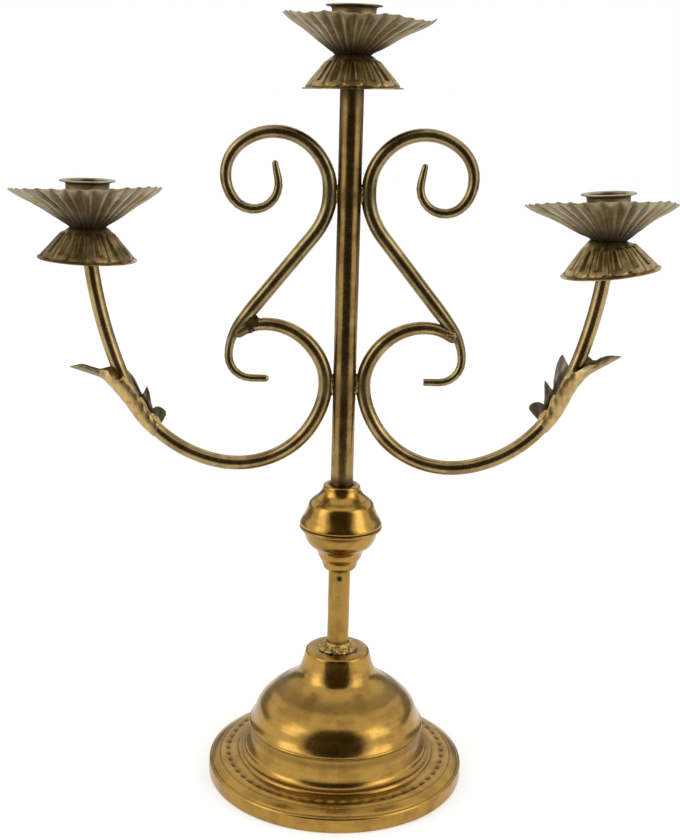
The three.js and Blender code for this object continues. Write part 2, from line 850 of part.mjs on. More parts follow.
function socketSolid() {
  const outerRadius = candleRadius + socketWall;
  const dishRadius = screwHeadRadius + clearance;
  return spun(
    [
      [screwHole, 0],
      [socketSeatRadius, 0],
      [outerRadius, socketRise],
      [outerRadius, socketHeight - 2 * socketFlangeThickness],
      [socketFlangeRadius, socketHeight - socketFlangeThickness],
      [socketFlangeRadius, socketHeight],
      [candleRadius, socketHeight],
      [candleRadius, socketFloor + socketRise],
      [socketSeatRadius - socketWall, socketFloor],
      [dishRadius, socketFloor],
      [dishRadius, socketFloor - socketDish],
      [screwHole, socketFloor - socketDish],
    ].map((point) => new THREE.Vector2(...point)),
    socketSegments,
  );
}

function screwSolid(length) {
  const outline = [
    [0, -length],
    [screwRadius, -length],
    [screwRadius, 0],
    [screwHeadRadius, 0],
    [screwHeadRadius, screwHeadHeight / 2],
    [screwHeadRadius - screwHeadHeight / 2, screwHeadHeight],
    [0, screwHeadHeight],
  ].map((point) => new THREE.Vector2(...point));
  const turned = new THREE.LatheGeometry(outline, smallSegments).rotateX(up);
  const slot = new THREE.BoxGeometry(
    2 * (screwHeadRadius + overrun),
    screwSlotWidth,
    2 * screwSlotDepth,
  ).translate(0, 0, screwHeadHeight);
  return cutBy(turned, slot);
}

function addCup(group, side, x, z) {
  const skirtZ = z + clearance;
  const panZ = skirtZ + cupSheet + clearance;
  const socketZ = panZ + cupSheet + clearance;
  const headZ = socketZ + socketFloor - socketDish + clearance;
  const cup = new THREE.Group();
  cup.position.set(x, 0, 0);
  const place = (mesh, height) => {
    mesh.position.z = height;
    cup.add(mesh);
  };
  place(piece(side + "_skirt", "greyBrass", skirtSolid()), skirtZ);
  place(piece(side + "_drip_pan", "greyBrass", panSolid()), panZ);
  place(piece(side + "_socket", "greyBrass", socketSolid()), socketZ);
  place(piece(side + "_socket_screw", "steel", screwSolid(headZ - z + screwBite)), headZ);
  group.add(cup);
}

const candleHolder = new THREE.Group();
addFoot(candleHolder);
addStem(candleHolder);
addCup(candleHolder, "top", 0, stemTopHeight);
for (const [side, turned] of [["right", 0], ["left", Math.PI]]) {
  const half = new THREE.Group();
  half.rotation.z = turned;
  const end = addSide(half, side);
  addCup(half, side, end.x, end.z);
  candleHolder.add(half);
}

export default candleHolder;
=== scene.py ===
# %% [markdown]
# # A three-light candle holder in aged brass
#
# This lesson dresses a imported model of a table candle holder: a spun bell foot, a tube stem with a
# hollow knop, two bent arms with leaves, two scrolls, and three cups. The imported model fixes where
# every piece goes. Here each piece is modelled again, finer and rounder, in its own place, and gets the
# finish of old brass.

# %% Load the imported model and note its size
import math

import bpy
import numpy as np
from mathutils import Matrix, Vector, noise


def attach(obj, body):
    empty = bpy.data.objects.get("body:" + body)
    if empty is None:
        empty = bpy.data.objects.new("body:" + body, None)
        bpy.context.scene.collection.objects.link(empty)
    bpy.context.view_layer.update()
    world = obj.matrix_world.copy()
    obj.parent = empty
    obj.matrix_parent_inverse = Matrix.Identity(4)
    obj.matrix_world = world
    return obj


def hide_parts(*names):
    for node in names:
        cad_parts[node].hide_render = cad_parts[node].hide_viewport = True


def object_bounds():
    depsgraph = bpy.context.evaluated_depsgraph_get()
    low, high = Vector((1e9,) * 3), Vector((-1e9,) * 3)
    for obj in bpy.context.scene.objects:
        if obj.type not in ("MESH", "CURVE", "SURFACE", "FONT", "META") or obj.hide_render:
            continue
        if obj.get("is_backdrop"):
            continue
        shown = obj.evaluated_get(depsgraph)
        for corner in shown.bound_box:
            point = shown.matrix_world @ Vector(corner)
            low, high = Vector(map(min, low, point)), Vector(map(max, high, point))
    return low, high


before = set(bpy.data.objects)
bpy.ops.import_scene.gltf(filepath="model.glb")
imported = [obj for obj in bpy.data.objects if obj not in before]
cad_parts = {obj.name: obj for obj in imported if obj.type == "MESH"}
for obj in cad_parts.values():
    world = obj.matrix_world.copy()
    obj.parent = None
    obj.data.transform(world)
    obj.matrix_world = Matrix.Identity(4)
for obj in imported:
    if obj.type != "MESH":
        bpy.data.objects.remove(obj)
cad_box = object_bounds()
print("packed nodes:", len(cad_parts))

# %% [markdown]
# ## Working habits
#
# Sizes are easier to read in millimetres, while Blender's scene is in metres, so one small
# function turns one into the other. Every operator works on what is selected, so each piece
# starts with nothing selected. Places of vertices are read and written as one array, because
# these pieces have tens of thousands of them.

# %% Helpers for lengths, selection and vertex places
def mm(*lengths):
    """Millimetres as metres: one number, or a vector."""
    metres = [length / 1000 for length in lengths]
    return metres[0] if len(metres) == 1 else Vector(metres)


def start_fresh():
    """Leave edit mode and deselect everything."""
    if bpy.context.object and bpy.context.object.mode != "OBJECT":
        bpy.ops.object.mode_set(mode="OBJECT")
    bpy.ops.object.select_all(action="DESELECT")


def make_active(piece):
    """Select one piece only."""
    start_fresh()
    piece.select_set(True)
    bpy.context.view_layer.objects.active = piece


def places(piece):
    """The places of a piece's vertices, in millimetres."""
    flat = np.empty(3 * len(piece.data.vertices))
    piece.data.vertices.foreach_get("co", flat)
    return flat.reshape(-1, 3) * 1000


def put_places(piece, where):
    """Move a piece's vertices to new places, in millimetres."""
    piece.data.vertices.foreach_set("co", (np.asarray(where) / 1000).ravel())
    piece.data.update()


def mark(piece, name, values):
    """Keep one number for each vertex, for a material to read."""
    attribute = piece.data.attributes.new(name, "FLOAT", "POINT")
    attribute.data.foreach_set("value", np.asarray(values, dtype=float))


def ease(share):
    """A share from 0 to 1 that starts and ends gently."""
    held = np.clip(share, 0, 1)
    return held * held * (3 - 2 * held)


def wander(where, reach, seed):
    """Smooth noise from -1 to 1 at each place, with lumps about as wide as the reach."""
    shift = Vector((seed * 17.3, seed * 5.1, seed * 29.7))
    return np.array([noise.noise(Vector(place) / reach + shift) for place in where])


# %% [markdown]
# ## Outlines
#
# Spun sheet, tube and turned work are all surfaces of revolution, so each is drawn as an outline
# of radius and height first. A stretch to one point is straight, a stretch through several is a
# smooth curve, and a corner is where one stretch ends and the next begins.

# %% Helpers for outlines
def through(points, parts):
    """A smooth curve through points, or a straight line through two, in equal parts of spans."""
    known = [np.array(point, dtype=float) for point in points]
    ends = [2 * known[0] - known[1], *known, 2 * known[-1] - known[-2]]
    curve = [tuple(known[0])]
    for a, b, c, d in zip(ends, ends[1:], ends[2:], ends[3:]):
        for part in range(1, parts + 1):
            t = part / parts
            bent = (
                2 * b
                + (c - a) * t
                + (2 * a - 5 * b + 4 * c - d) * t**2
                + (3 * b - a - 3 * c + d) * t**3
            )
            curve.append(tuple(bent / 2))
    return curve


def profile(start, *stretches):
    """An outline: each stretch says how many parts a span has, and which points it goes on to."""
    line = [start]
    for parts, *points in stretches:
        line += through([line[-1], *points], parts)[1:]
    return line


# %% [markdown]
# ## Spinning a sheet
#
# The maker presses a turning disc of brass over a former. Here one point is pulled along the
# outline by extruding it, and the line is then spun once round. The seam's double vertices are
# merged and the normals made to point outwards before the sheet gets its thickness, which goes
# inwards from the face that shows.

# %% Helpers that spin an outline and give it a wall
def spun(name, outline, steps):
    """A surface of revolution about the Z axis."""
    start_fresh()
    bpy.ops.mesh.primitive_plane_add(size=mm(1))
    piece = bpy.context.object
    piece.name = piece.data.name = name
    bpy.ops.object.mode_set(mode="EDIT")
    bpy.ops.mesh.merge(type="CENTER")
    bpy.ops.transform.translate(value=mm(outline[0][0], 0, outline[0][1]))
    for (radius, height), (wider, higher) in zip(outline, outline[1:]):
        pull = mm(wider - radius, 0, higher - height)
        bpy.ops.mesh.extrude_region_move(TRANSFORM_OT_translate={"value": pull})
    bpy.ops.mesh.select_all(action="SELECT")
    bpy.ops.mesh.spin(steps=steps, angle=2 * math.pi, center=(0, 0, 0), axis=(0, 0, 1))
    bpy.ops.mesh.select_all(action="SELECT")
    bpy.ops.mesh.remove_doubles(threshold=mm(0.002))
    bpy.ops.mesh.normals_make_consistent(inside=False)
    bpy.ops.object.mode_set(mode="OBJECT")
    return piece


def thicken(piece, sheet):
    """Give a face of sheet metal its thickness, inwards."""
    make_active(piece)
    bpy.ops.object.modifier_add(type="SOLIDIFY")
    wall = piece.modifiers[-1]
    wall.thickness = mm(sheet)
    wall.offset = -1
    bpy.ops.object.modifier_apply(modifier=wall.name)


def smooth(piece, sharp=38):
    """Smooth shading, with an edge where faces meet at more than the sharp angle."""
    make_active(piece)
    bpy.ops.object.shade_smooth_by_angle(angle=math.radians(sharp))
    corners = sum(len(face.vertices) - 2 for face in piece.data.polygons)
    print(f"{piece.name}: {corners} triangles")


def copy_of(piece, name):
    """A second piece from the same pattern, with its own mesh."""
    twin = piece.copy()
    twin.data = piece.data.copy()
    twin.name = twin.data.name = name
    bpy.context.collection.objects.link(twin)
    return twin


def follow_outline(piece, outline):
    """How far along the outline each vertex lies, in millimetres."""
    line = np.array(outline)
    runs = np.concatenate([[0], np.cumsum(np.linalg.norm(np.diff(line, axis=0), axis=1))])
    where = places(piece)
    spots = np.column_stack([np.hypot(where[:, 0], where[:, 1]), where[:, 2]])
    gaps = np.linalg.norm(spots[:, None, :] - line[None, :, :], axis=2)
    return runs[gaps.argmin(axis=1)]


def grime_and_shade_near(piece, spots):
    """Dirt in creases, and painted shade under and beside other parts: each spot is a radius, a height, a
    reach and an amount.
    """
    where = places(piece)
    radius = np.hypot(where[:, 0], where[:, 1])
    dirt_and_shade = np.zeros(len(where))
    for spot_radius, spot_height, reach, amount in spots:
        gap = np.hypot(radius - spot_radius, where[:, 2] - spot_height)
        dirt_and_shade = np.maximum(dirt_and_shade, amount * ease(1 - gap / reach))
    return dirt_and_shade


def dent(piece, depth, reach, seed):
    """Press slight dents into a piece: years of handling make its reflections wave."""
    where = places(piece)
    radius = np.maximum(np.hypot(where[:, 0], where[:, 1]), 1)
    push = depth * wander(where, reach, seed)
    where[:, 0] += where[:, 0] / radius * push
    where[:, 1] += where[:, 1] / radius * push
    put_places(piece, where)

# %% [markdown]
# ## The camera
#
# The camera stands in front, nearly as high as the top cup, and looks down by about fourteen
# degrees, so the foot shows as an ellipse and the cups are seen nearly level.
# Its place, tilt and lens were fitted to the ellipse of the foot and the height of the stem.

# %% Camera
camera_place = mm(-1.92, -720.5, 395.2)
camera_data = bpy.data.cameras.new("front_camera")
camera = bpy.data.objects.new("front_camera", camera_data)
bpy.context.collection.objects.link(camera)
tilt = Matrix.Rotation(math.radians(75.79), 4, "X")
roll = Matrix.Rotation(math.radians(1.47), 4, "Z")
camera.matrix_world = Matrix.Translation(camera_place) @ tilt @ roll
camera_data.lens = 57.16
camera_data.sensor_width = 36
camera_data.clip_start = mm(10)
bpy.context.scene.camera = camera
bpy.context.scene.view_settings.view_transform = "Standard"
print("camera stands", round(camera_place.length, 3), "m from the foot")

# %% [markdown]
# ## Colours and nodes
#
# Colours are written as the hex codes of a screen and turned to linear light once, here. One
# function adds a node: it sets the node's values and joins its inputs to other nodes' outputs.

# %% Helpers for colours and nodes
def colour(code):
    """A screen's hex colour as linear red, green, blue and alpha."""
    shares = [int(code[i : i + 2], 16) / 255 for i in (1, 3, 5)]
    linear = [s / 12.92 if s <= 0.04045 else ((s + 0.055) / 1.055) ** 2.4 for s in shares]
    return (*linear, 1)


def add_node(tree, kind, inputs=None, **settings):
    """Add a node, with its settings, and with its inputs set or linked."""
    node = tree.nodes.new(kind)
    for name, value in settings.items():
        setattr(node, name, value)
    for name, value in (inputs or {}).items():
        if isinstance(value, bpy.types.NodeSocket):
            tree.links.new(value, node.inputs[name])
        else:
            node.inputs[name].default_value = value
    return node


def empty_tree(owner):
    """The owner's node tree, with nothing in it yet."""
    owner.use_nodes = True
    owner.node_tree.nodes.clear()
    return owner.node_tree


# %% [markdown]
# ## World, floor and backdrop
#
# Old brass shows mostly what stands round it, so the room is part of the finish. The room here
# is a white one. The camera sees it at full white, also in metal and through glass, and it
# lights the pieces a little more gently than that.

# %% White room
def shown_rays(tree):
    """1 for rays straight from the camera or by way of metal or glass, and 0 for others."""
    rays = add_node(tree, "ShaderNodeLightPath").outputs
    shown = rays["Is Camera Ray"]
    for kind in ("Is Glossy Ray", "Is Transmission Ray"):
        either = add_node(tree, "ShaderNodeMath", {0: shown, 1: rays[kind]}, operation="MAXIMUM")
        shown = either.outputs[0]
    return shown


world = bpy.data.worlds.new("white_room")
bpy.context.scene.world = world
tree = empty_tree(world)
level = add_node(
    tree, "ShaderNodeMapRange", {"Value": shown_rays(tree), "To Min": 0.6, "To Max": 1.0}
)
glow = add_node(
    tree, "ShaderNodeBackground", {"Color": colour("#FFFFFF"), "Strength": level.outputs[0]}
)
add_node(tree, "ShaderNodeOutputWorld", {"Surface": glow.outputs[0]})

# %% [markdown]
# The floor is a plain white sheet. It takes the foot's shadow as any matt floor does, and a
# little of its own light, for what the camera and mirrors see, brings the open floor up to white.

# %% Floor
start_fresh()
bpy.ops.mesh.primitive_plane_add(size=8, location=(0, 0, mm(-0.3)))
floor = bpy.context.object
floor.name = "floor"
paper = bpy.data.materials.new("white paper floor")
tree = empty_tree(paper)
lift = add_node(tree, "ShaderNodeMath", {0: shown_rays(tree), 1: 0.47}, operation="MULTIPLY")
sheet = add_node(
    tree,
    "ShaderNodeBsdfPrincipled",
    {
        "Base Color": colour("#F2F2F0"),
        "Roughness": 0.9,
        "Specular IOR Level": 0.1,
        "Emission Color": colour("#FFFFFF"),
        "Emission Strength": lift.outputs[0],
    },
)
add_node(tree, "ShaderNodeOutputMaterial", {"Surface": sheet.outputs[0]})
floor.data.materials.append(paper)
floor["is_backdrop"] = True

# %% [markdown]
# ## Cards
#
# A wholly white room would leave the brass flat. The real piece shows a dark stripe down the
# middle of every round form, where it mirrors the darker end of the room behind the camera, and
# greyer edges, where it mirrors what stands far behind it. Cards give it the same things to
# mirror. Only glossy rays see them, so they neither light nor shade anything.

# %% Cards for the brass to mirror
def card(name, corners, code):
    """A flat card through four corners, of one even tone, that only reflections show."""
    start_fresh()
    bpy.ops.mesh.primitive_plane_add(size=1)
    made = bpy.context.object
    made.name = name
    for vertex, corner in zip(made.data.vertices, corners):
        vertex.co = mm(*corner)
    tone = bpy.data.materials.new(name)
    tree = empty_tree(tone)
    plain = add_node(tree, "ShaderNodeEmission", {"Color": colour(code), "Strength": 1})
    add_node(tree, "ShaderNodeOutputMaterial", {"Surface": plain.outputs[0]})
    made.data.materials.append(tone)
    made.visible_camera = made.visible_diffuse = made.visible_shadow = False
    made.visible_transmission = False
    made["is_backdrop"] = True


def standing(name, near, far, low, high, code):
    """A card that stands upright between two places on the floor."""
    corners = [(*near, low), (*far, low), (*near, high), (*far, high)]
    card(name, corners, code)


dark_tone, grey_tone = "#463F35", "#8E908A"
card(
    "dark_card",
    [(-1440, -1600, 0), (1440, -1600, 0), (-1000, -1600, 2700), (1000, -1600, 2700)],
    dark_tone,
)
card(
    "dark_floor_card",
    [(-1300, -1600, 2), (1300, -1600, 2), (-400, -430, 2), (400, -430, 2)],
    dark_tone,
)
standing("grey_card_right", (1900, 560), (520, 1900), -20, 560, grey_tone)
standing("grey_card_left", (-1900, 560), (-520, 1900), -20, 560, grey_tone)

# %% [markdown]
# ## Lamps
#
# Two wide soft lamps stand to the left and right, a little to the front. On matt surfaces they
# give gentle shape, and on the brass they are the long bright streaks beside each dark stripe.

# %% Lamps
def soft_lamp(name, place, aim, width, height, radiance):
    """A wide rectangular lamp of one even brightness, turned to face a place."""
    data = bpy.data.lights.new(name, "AREA")
    data.shape = "RECTANGLE"
    data.size, data.size_y = mm(width), mm(height)
    data.energy = radiance * math.pi * data.size * data.size_y
    lamp = bpy.data.objects.new(name, data)
    bpy.context.collection.objects.link(lamp)
    line = mm(*aim) - mm(*place)
    facing = line.to_track_quat("-Z", "Y").to_matrix().to_4x4()
    lamp.matrix_world = Matrix.Translation(mm(*place)) @ facing


soft_lamp("right_lamp", (1900, -900, 1100), (0, 0, 200), 1100, 1500, 1.6)
soft_lamp("left_lamp", (-1900, -900, 1100), (0, 0, 200), 1100, 1500, 1.6)
print("lamps and cards are up")

# %% [markdown]
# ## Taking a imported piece's place
#
# Every piece ends the same way: it gets its finish, smooth shading with an edge wherever faces
# meet sharply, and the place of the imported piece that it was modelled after.

# %% Helper that dresses a piece
def dress(piece, node, finish, sharp=38):
    """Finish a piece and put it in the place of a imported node."""
    piece.data.materials.append(finish)
    smooth(piece, sharp)
    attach(piece, "root")
    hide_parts(node)


# %% [markdown]
# ## Aged brass
#
# Every piece is brass, but made and worn in its own way. The foot and knop are spun sheet,
# polished and once lacquered: warm gold, browner in bands that follow the turning. Bar and tube
# are drawn: the arms have gone olive, the scrolls greyer, and the tube of the stem warm brown.
# The cups and leaves are thin stamped sheet: grey brown pans and sockets, warmer skirts, and
# leaves rubbed to gold. Brass is a metal, so it is fully metallic, keeps the default IOR, and
# its base colour tints what it mirrors.
#
# One recipe serves all, since the metal is the same: broad patches where the colour turns from fresh to
# worn, small dark specks, dirt and painted shade in the creases and near other parts where the piece says
# so, fine turning marks along the outline, and a grain that breaks up the reflections.

# %% Recipe for aged metal
def per_mm(size):
    """The noise scale whose lumps are about this many millimetres wide."""
    return 1000 / size


def aged_metal(name, fresh, worn, stain_and_shade, gloss, patch, speck_share, marks, grain, bands=0):
    """Old metal. Gloss is the lowest and highest roughness, patch a width in millimetres,
    marks the strength of the turning lines, grain the strength of the fine bumps, and bands
    how far the colour follows the turning lines."""
    made = bpy.data.materials.new(name)
    tree = empty_tree(made)
    spot = add_node(tree, "ShaderNodeTexCoord").outputs["Object"]
    broad = add_node(
        tree,
        "ShaderNodeTexNoise",
        {"Vector": spot, "Scale": per_mm(patch), "Detail": 4, "Roughness": 0.62},
    )
    run = add_node(tree, "ShaderNodeAttribute", attribute_name="run")
    rings = add_node(
        tree,
        "ShaderNodeTexNoise",
        {"W": run.outputs["Fac"], "Scale": 0.3, "Detail": 3},
        noise_dimensions="1D",
    )
    wear = add_node(
        tree, "ShaderNodeMath", {0: rings.outputs["Fac"], 1: bands, 2: broad.outputs["Fac"]},
        operation="MULTIPLY_ADD",
    )
    worn_share = add_node(
        tree,
        "ShaderNodeMapRange",
        {"Value": wear.outputs[0], "From Min": 0.42 + bands / 2, "From Max": 0.62 + bands / 2},
        interpolation_type="SMOOTHSTEP",
    )
    body = add_node(
        tree,
        "ShaderNodeMix",
        {0: worn_share.outputs[0], 6: colour(fresh), 7: colour(worn)},
        data_type="RGBA",
    )
    # Specks of tarnish are a few tenths of a millimetre to a millimetre wide.
    fine = add_node(
        tree,
        "ShaderNodeTexNoise",
        {"Vector": spot, "Scale": per_mm(2.2), "Detail": 5, "Roughness": 0.7},
    )
    specks = add_node(
        tree,
        "ShaderNodeMapRange",
        {
            "Value": fine.outputs["Fac"],
            "From Min": 0.72 - 0.25 * speck_share,
            "From Max": 0.8 - 0.1 * speck_share,
            "To Max": 0.75,
        },
    )
    # Each piece's own darkening, real dirt in some places and painted shade in others, mixes in the stain
    # colour and dulls the surface.
    dirt_and_shade = add_node(tree, "ShaderNodeAttribute", attribute_name="dirt_and_shade")
    dark_share = add_node(
        tree,
        "ShaderNodeMath",
        {0: dirt_and_shade.outputs["Fac"], 1: specks.outputs[0]},
        operation="MAXIMUM",
    )
    surface = add_node(
        tree,
        "ShaderNodeMix",
        {0: dark_share.outputs[0], 6: body.outputs[2], 7: colour(stain_and_shade)},
        data_type="RGBA",
    )
    rough = add_node(
        tree,
        "ShaderNodeMapRange",
        {"Value": fine.outputs["Fac"], "From Min": 0.35, "From Max": 0.68,
         "To Min": gloss[0], "To Max": gloss[1]},
    )
    dull = add_node(
        tree, "ShaderNodeMath", {0: dark_share.outputs[0], 1: 0.3, 2: rough.outputs[0]},
        operation="MULTIPLY_ADD",
    )
    lines = add_node(
        tree,
        "ShaderNodeTexNoise",
        {"W": run.outputs["Fac"], "Scale": 1.4, "Detail": 2},
        noise_dimensions="1D",
    )
    turned = add_node(
        tree, "ShaderNodeBump",
        {"Strength": marks, "Distance": mm(0.1), "Height": lines.outputs["Fac"]},
    )
    rough_grain = add_node(
        tree,
        "ShaderNodeTexNoise",
        {"Vector": spot, "Scale": per_mm(1.1), "Detail": 3, "Roughness": 0.6},
    )
    bumps = add_node(
        tree, "ShaderNodeBump",
        {"Strength": grain, "Distance": mm(0.12), "Height": rough_grain.outputs["Fac"],
         "Normal": turned.outputs[0]},
    )
    shader = add_node(
        tree,
        "ShaderNodeBsdfPrincipled",
        {
            "Base Color": surface.outputs[2],
            "Metallic": 1,
            "Roughness": dull.outputs[0],
            "Normal": bumps.outputs[0],
        },
    )
    add_node(tree, "ShaderNodeOutputMaterial", {"Surface": shader.outputs[0]})
    return made


# Spun gold mirrors clearly, so the foot and knop show crisp dark shapes between warm bands.
spun_gold = aged_metal(
    "spun brass, worn gold lacquer",
    "#AE8843", "#99763A", "#3A2D1B", (0.17, 0.27), 15, 0.07, 0.1, 0.07, bands=0.3,
)
# Drawn olive gives the arms a dark stripe between two light ones, without any yellow.
drawn_olive = aged_metal(
    "drawn brass bar, olive patina",
    "#A79063", "#887248", "#332B1C", (0.21, 0.29), 14, 0.06, 0, 0.01,
)
# Drawn grey is the scrolls' bar: duller than the arms, because nobody holds it there.
drawn_grey = aged_metal(
    "drawn brass bar, grey olive patina",
    "#9A8860", "#7D6B45", "#332B1C", (0.23, 0.31), 14, 0.06, 0, 0.01,
)
# Drawn brown is the tube of the stem, where hands have kept the stripes warm and dark.
drawn_brown = aged_metal(
    "drawn brass tube, brown patina",
    "#93784A", "#765C35", "#332B1C", (0.2, 0.3), 14, 0.06, 0, 0.02,
)
# Stamped grey keeps the cups thin and worn: greyer than the foot, brown in the creases.
stamped_grey = aged_metal(
    "stamped brass sheet, grey brown patina",
    "#A89D83", "#94815B", "#352C1E", (0.34, 0.48), 12, 0.12, 0, 0.08,
)
# Stamped brown is the skirts' finish: the same sheet, but warmer, since hands hold it there.
stamped_brown = aged_metal(
    "stamped brass sheet, warm brown patina",
    "#B29C6C", "#8C7348", "#3A2E1C", (0.3, 0.44), 7, 0.12, 0, 0.08,
)
# The leaves are the palest brass; their grey stain colour is painted shade, on the lobes turned away, in
# the curled tip's hollow and at the leaf's foot.
leaf_brass = aged_metal(
    "stamped brass leaf, rubbed gold",
    "#C6A96C", "#AC8F5C", "#989180", (0.28, 0.42), 6, 0.14, 0, 0.12,
)
# Braze and solder are lumpy and break every reflection into glints.
braze_metal = aged_metal(
    "braze and solder, rough",
    "#C09F5A", "#8A6F3C", "#2B2519", (0.26, 0.42), 2.5, 0.3, 0, 0.4,
)

# %% [markdown]
# The washer, nut, rod and screws are plain steel, plated once and dull now. They are hidden, or
# seen only from under the foot and down in the cups.

# %% Dull steel
dull_steel = aged_metal(
    "zinc plated steel, dull",
    "#A9AAAA", "#84827C", "#4A423A", (0.35, 0.5), 4, 0.3, 0, 0.3,
)

# %% [markdown]
# ## The bell foot
#
# The foot is one disc of brass spun into a bell: a flat top and a short neck, a round dome, a
# thin rolled bead, an upright band, a flange and a deep rim that is turned in underneath. It
# could be built with a screw modifier, but spinning an outline in edit mode is nearer to what
# the maker does, and it leaves a plain mesh that can be shaped further. The outline goes down
# the outside and comes back up inside, one sheet thickness away, without the fine ridges.

# %% Outline of the foot
foot_outline = profile(
    (3.3, 76.5),
    (5, (15.0, 76.5)),
    (3, (17.1, 76.2), (18.4, 75.2), (18.9, 73.6), (19.5, 71.0), (20.3, 68.0), (21.3, 65.2),
        (22.1, 63.2)),
    (3, (23.4, 61.2), (26.0, 58.7), (30.0, 55.7), (34.4, 52.6), (38.5, 49.6), (42.2, 46.4),
        (44.9, 43.3), (46.5, 40.2), (47.5, 37.2), (48.7, 34.2), (50.2, 32.0)),
    (2, (50.6, 31.7), (50.85, 31.2), (50.6, 30.7), (50.0, 30.5)),
    (3, (49.9, 28.6), (50.3, 25.4), (50.9, 21.6), (51.5, 17.9), (52.3, 15.6), (53.5, 14.4),
        (55.2, 14.0)),
    (2, (56.0, 14.3), (57.0, 14.0), (57.6, 13.0)),
    (2, (59.6, 12.9), (61.2, 12.75)),
    (8, (65.2, 12.35)),
    (3, (67.4, 11.75), (68.0, 11.35), (68.5, 11.4), (70.4, 10.6), (72.3, 9.6), (72.9, 8.95)),
    (2, (73.3, 8.8), (73.8, 8.5), (74.2, 7.8), (74.3, 6.6)),
    (3, (74.3, 1.0)),
    (2, (74.1, 0.3), (73.5, 0.0)),
    (2, (69.3, 0.0)),
    (1, (69.3, 1.2)),
    (1, (73.0, 1.2)),
    (2, (73.0, 7.0)),
    (1, (71.6, 8.4), (67.6, 10.2), (62.7, 11.1), (57.6, 11.6), (54.4, 12.6), (52.4, 15.4),
        (50.6, 19.2), (49.3, 24.0), (48.7, 28.4), (48.5, 31.6), (46.9, 35.2), (45.5, 38.6),
        (43.8, 42.2), (41.2, 45.2), (37.6, 48.3), (33.6, 51.3), (29.2, 54.5), (25.1, 57.6),
        (22.4, 60.2), (20.9, 62.6), (19.9, 65.4), (18.9, 68.6), (18.0, 72.0), (17.3, 74.4),
        (16.4, 75.2), (15.0, 75.3)),
    (2, (3.3, 75.3)),
    (1, (3.3, 76.5)),
)
print(len(foot_outline), "points in the foot's outline")

# %% [markdown]
# A ring of small pits is punched into the flange, fifty-five of them, seven millimetres apart,
# in a shallow channel. The bell is spun in eight steps for each pit, so every pit falls on the
# mesh in the same way.

# %% Spin the foot and punch its pits
pit_count, pit_circle = 55, 63.1
foot = spun("foot_bell", foot_outline, 8 * pit_count)
foot_run = follow_outline(foot, foot_outline)
where = places(foot)
radius = np.hypot(where[:, 0], where[:, 1])
angle = np.arctan2(where[:, 1], where[:, 0])
across = (angle * pit_count / (2 * math.pi) + 0.5) % 1 - 0.5
along = across * 2 * math.pi * 62.9 / pit_count
outer_face = where[:, 2] > 11.9
in_pit = np.exp(-((along / 1.25) ** 2 + ((radius - pit_circle) / 1.0) ** 2)) * outer_face
in_channel = np.exp(-(((radius - pit_circle) / 1.5) ** 2)) * outer_face
where[:, 2] -= 0.95 * in_pit + 0.3 * in_channel
put_places(foot, where)
dent(foot, 0.16, 21, 1)
dent(foot, 0.05, 7, 2)
foot_dirt = grime_and_shade_near(
    foot,
    [(50.0, 30.3, 1.3, 0.45), (55.1, 14.0, 1.6, 0.4), (58.0, 12.9, 1.5, 0.3),
     (72.9, 8.9, 1.0, 0.4), (68.0, 11.4, 0.8, 0.4), (12.0, 76.5, 8.0, 0.3),
     (33.0, 53.5, 8.0, 0.42), (50.1, 27.0, 4.0, 0.35)],
)
foot_dirt = np.maximum(foot_dirt, 0.7 * in_pit + 0.3 * in_channel)
mark(foot, "run", foot_run)
mark(foot, "dirt_and_shade", foot_dirt)
dress(foot, "base_bell", spun_gold, 42)

# %% [markdown]
# ## Solder, and the lower tube
#
# The lower tube stands in a rough ring of solder that has run out over the top of the foot. A
# spun ring is too even for that, so its points are pushed about by noise, more at the outside
# where the solder ran than at the tube.

# %% Solder ring
solder_outline = profile(
    (6.4, 76.75),
    (3, (9.0, 76.75), (11.6, 76.8)),
    (3, (11.2, 77.2), (9.8, 77.7), (8.4, 78.5), (7.2, 79.8), (6.5, 80.6)),
    (2, (6.4, 76.75)),
)
solder = spun("stem_solder", solder_outline, 150)
where = places(solder)
radius = np.hypot(where[:, 0], where[:, 1])
run_out = ease((radius - 6.5) / 3) * (where[:, 2] > 76.8)
lumps = wander(where, 2.3, 3) + 0.6 * wander(where, 1.1, 4)
where[:, 2] = np.maximum(where[:, 2] + 1.0 * lumps * run_out, 76.72)
where[:, :2] *= (1 + 0.06 * lumps * run_out)[:, None]
put_places(solder, where)
mark(solder, "dirt_and_shade", 0.7 * ease(-1.6 * lumps - 0.2) * (radius > 6.9))
mark(solder, "run", where[:, 2])
dress(solder, "stem_solder_ring", braze_metal, 60)

# %% [markdown]
# Tube is an outline too: up the outside, over the end, and down the inside. A small dark hole
# near the top of the lower tube, at the front, is where the seam was pinned.

# %% Lower tube
def tube_outline(radius, wall, bottom, top, rings):
    """Out and up, with the ends' edges eased, and back down inside."""
    eased = 0.2
    return profile(
        (radius - wall, bottom),
        (1, (radius - eased, bottom)),
        (1, (radius, bottom + eased)),
        (rings, (radius, top - eased)),
        (1, (radius - eased, top)),
        (1, (radius - wall, top)),
        (1, (radius - wall, bottom)),
    )


lower_tube = spun("lower_tube", tube_outline(6.2, 1, 76.8, 151.5, 110), 90)
where = places(lower_tube)
pin_gap = np.linalg.norm(where - np.array([0.1, -6.2, 121.2]), axis=1)
faint = np.linalg.norm(where - np.array([-0.4, -6.2, 109.5]), axis=1)
where[:, 1] += 0.7 * ease(1 - pin_gap / 1.5)
put_places(lower_tube, where)
dent(lower_tube, 0.1, 9, 5)
grime = np.maximum(ease(1.4 - pin_gap / 1.6), 0.45 * ease(1 - faint / 1.4))
grime = np.maximum(grime, grime_and_shade_near(lower_tube, [(6.2, 125.4, 2.2, 0.7), (6.2, 79, 5, 0.6)]))
mark(lower_tube, "dirt_and_shade", np.maximum(grime, 0.12))
mark(lower_tube, "run", 0 * where[:, 2])
dress(lower_tube, "lower_stem_tube", spun_gold)

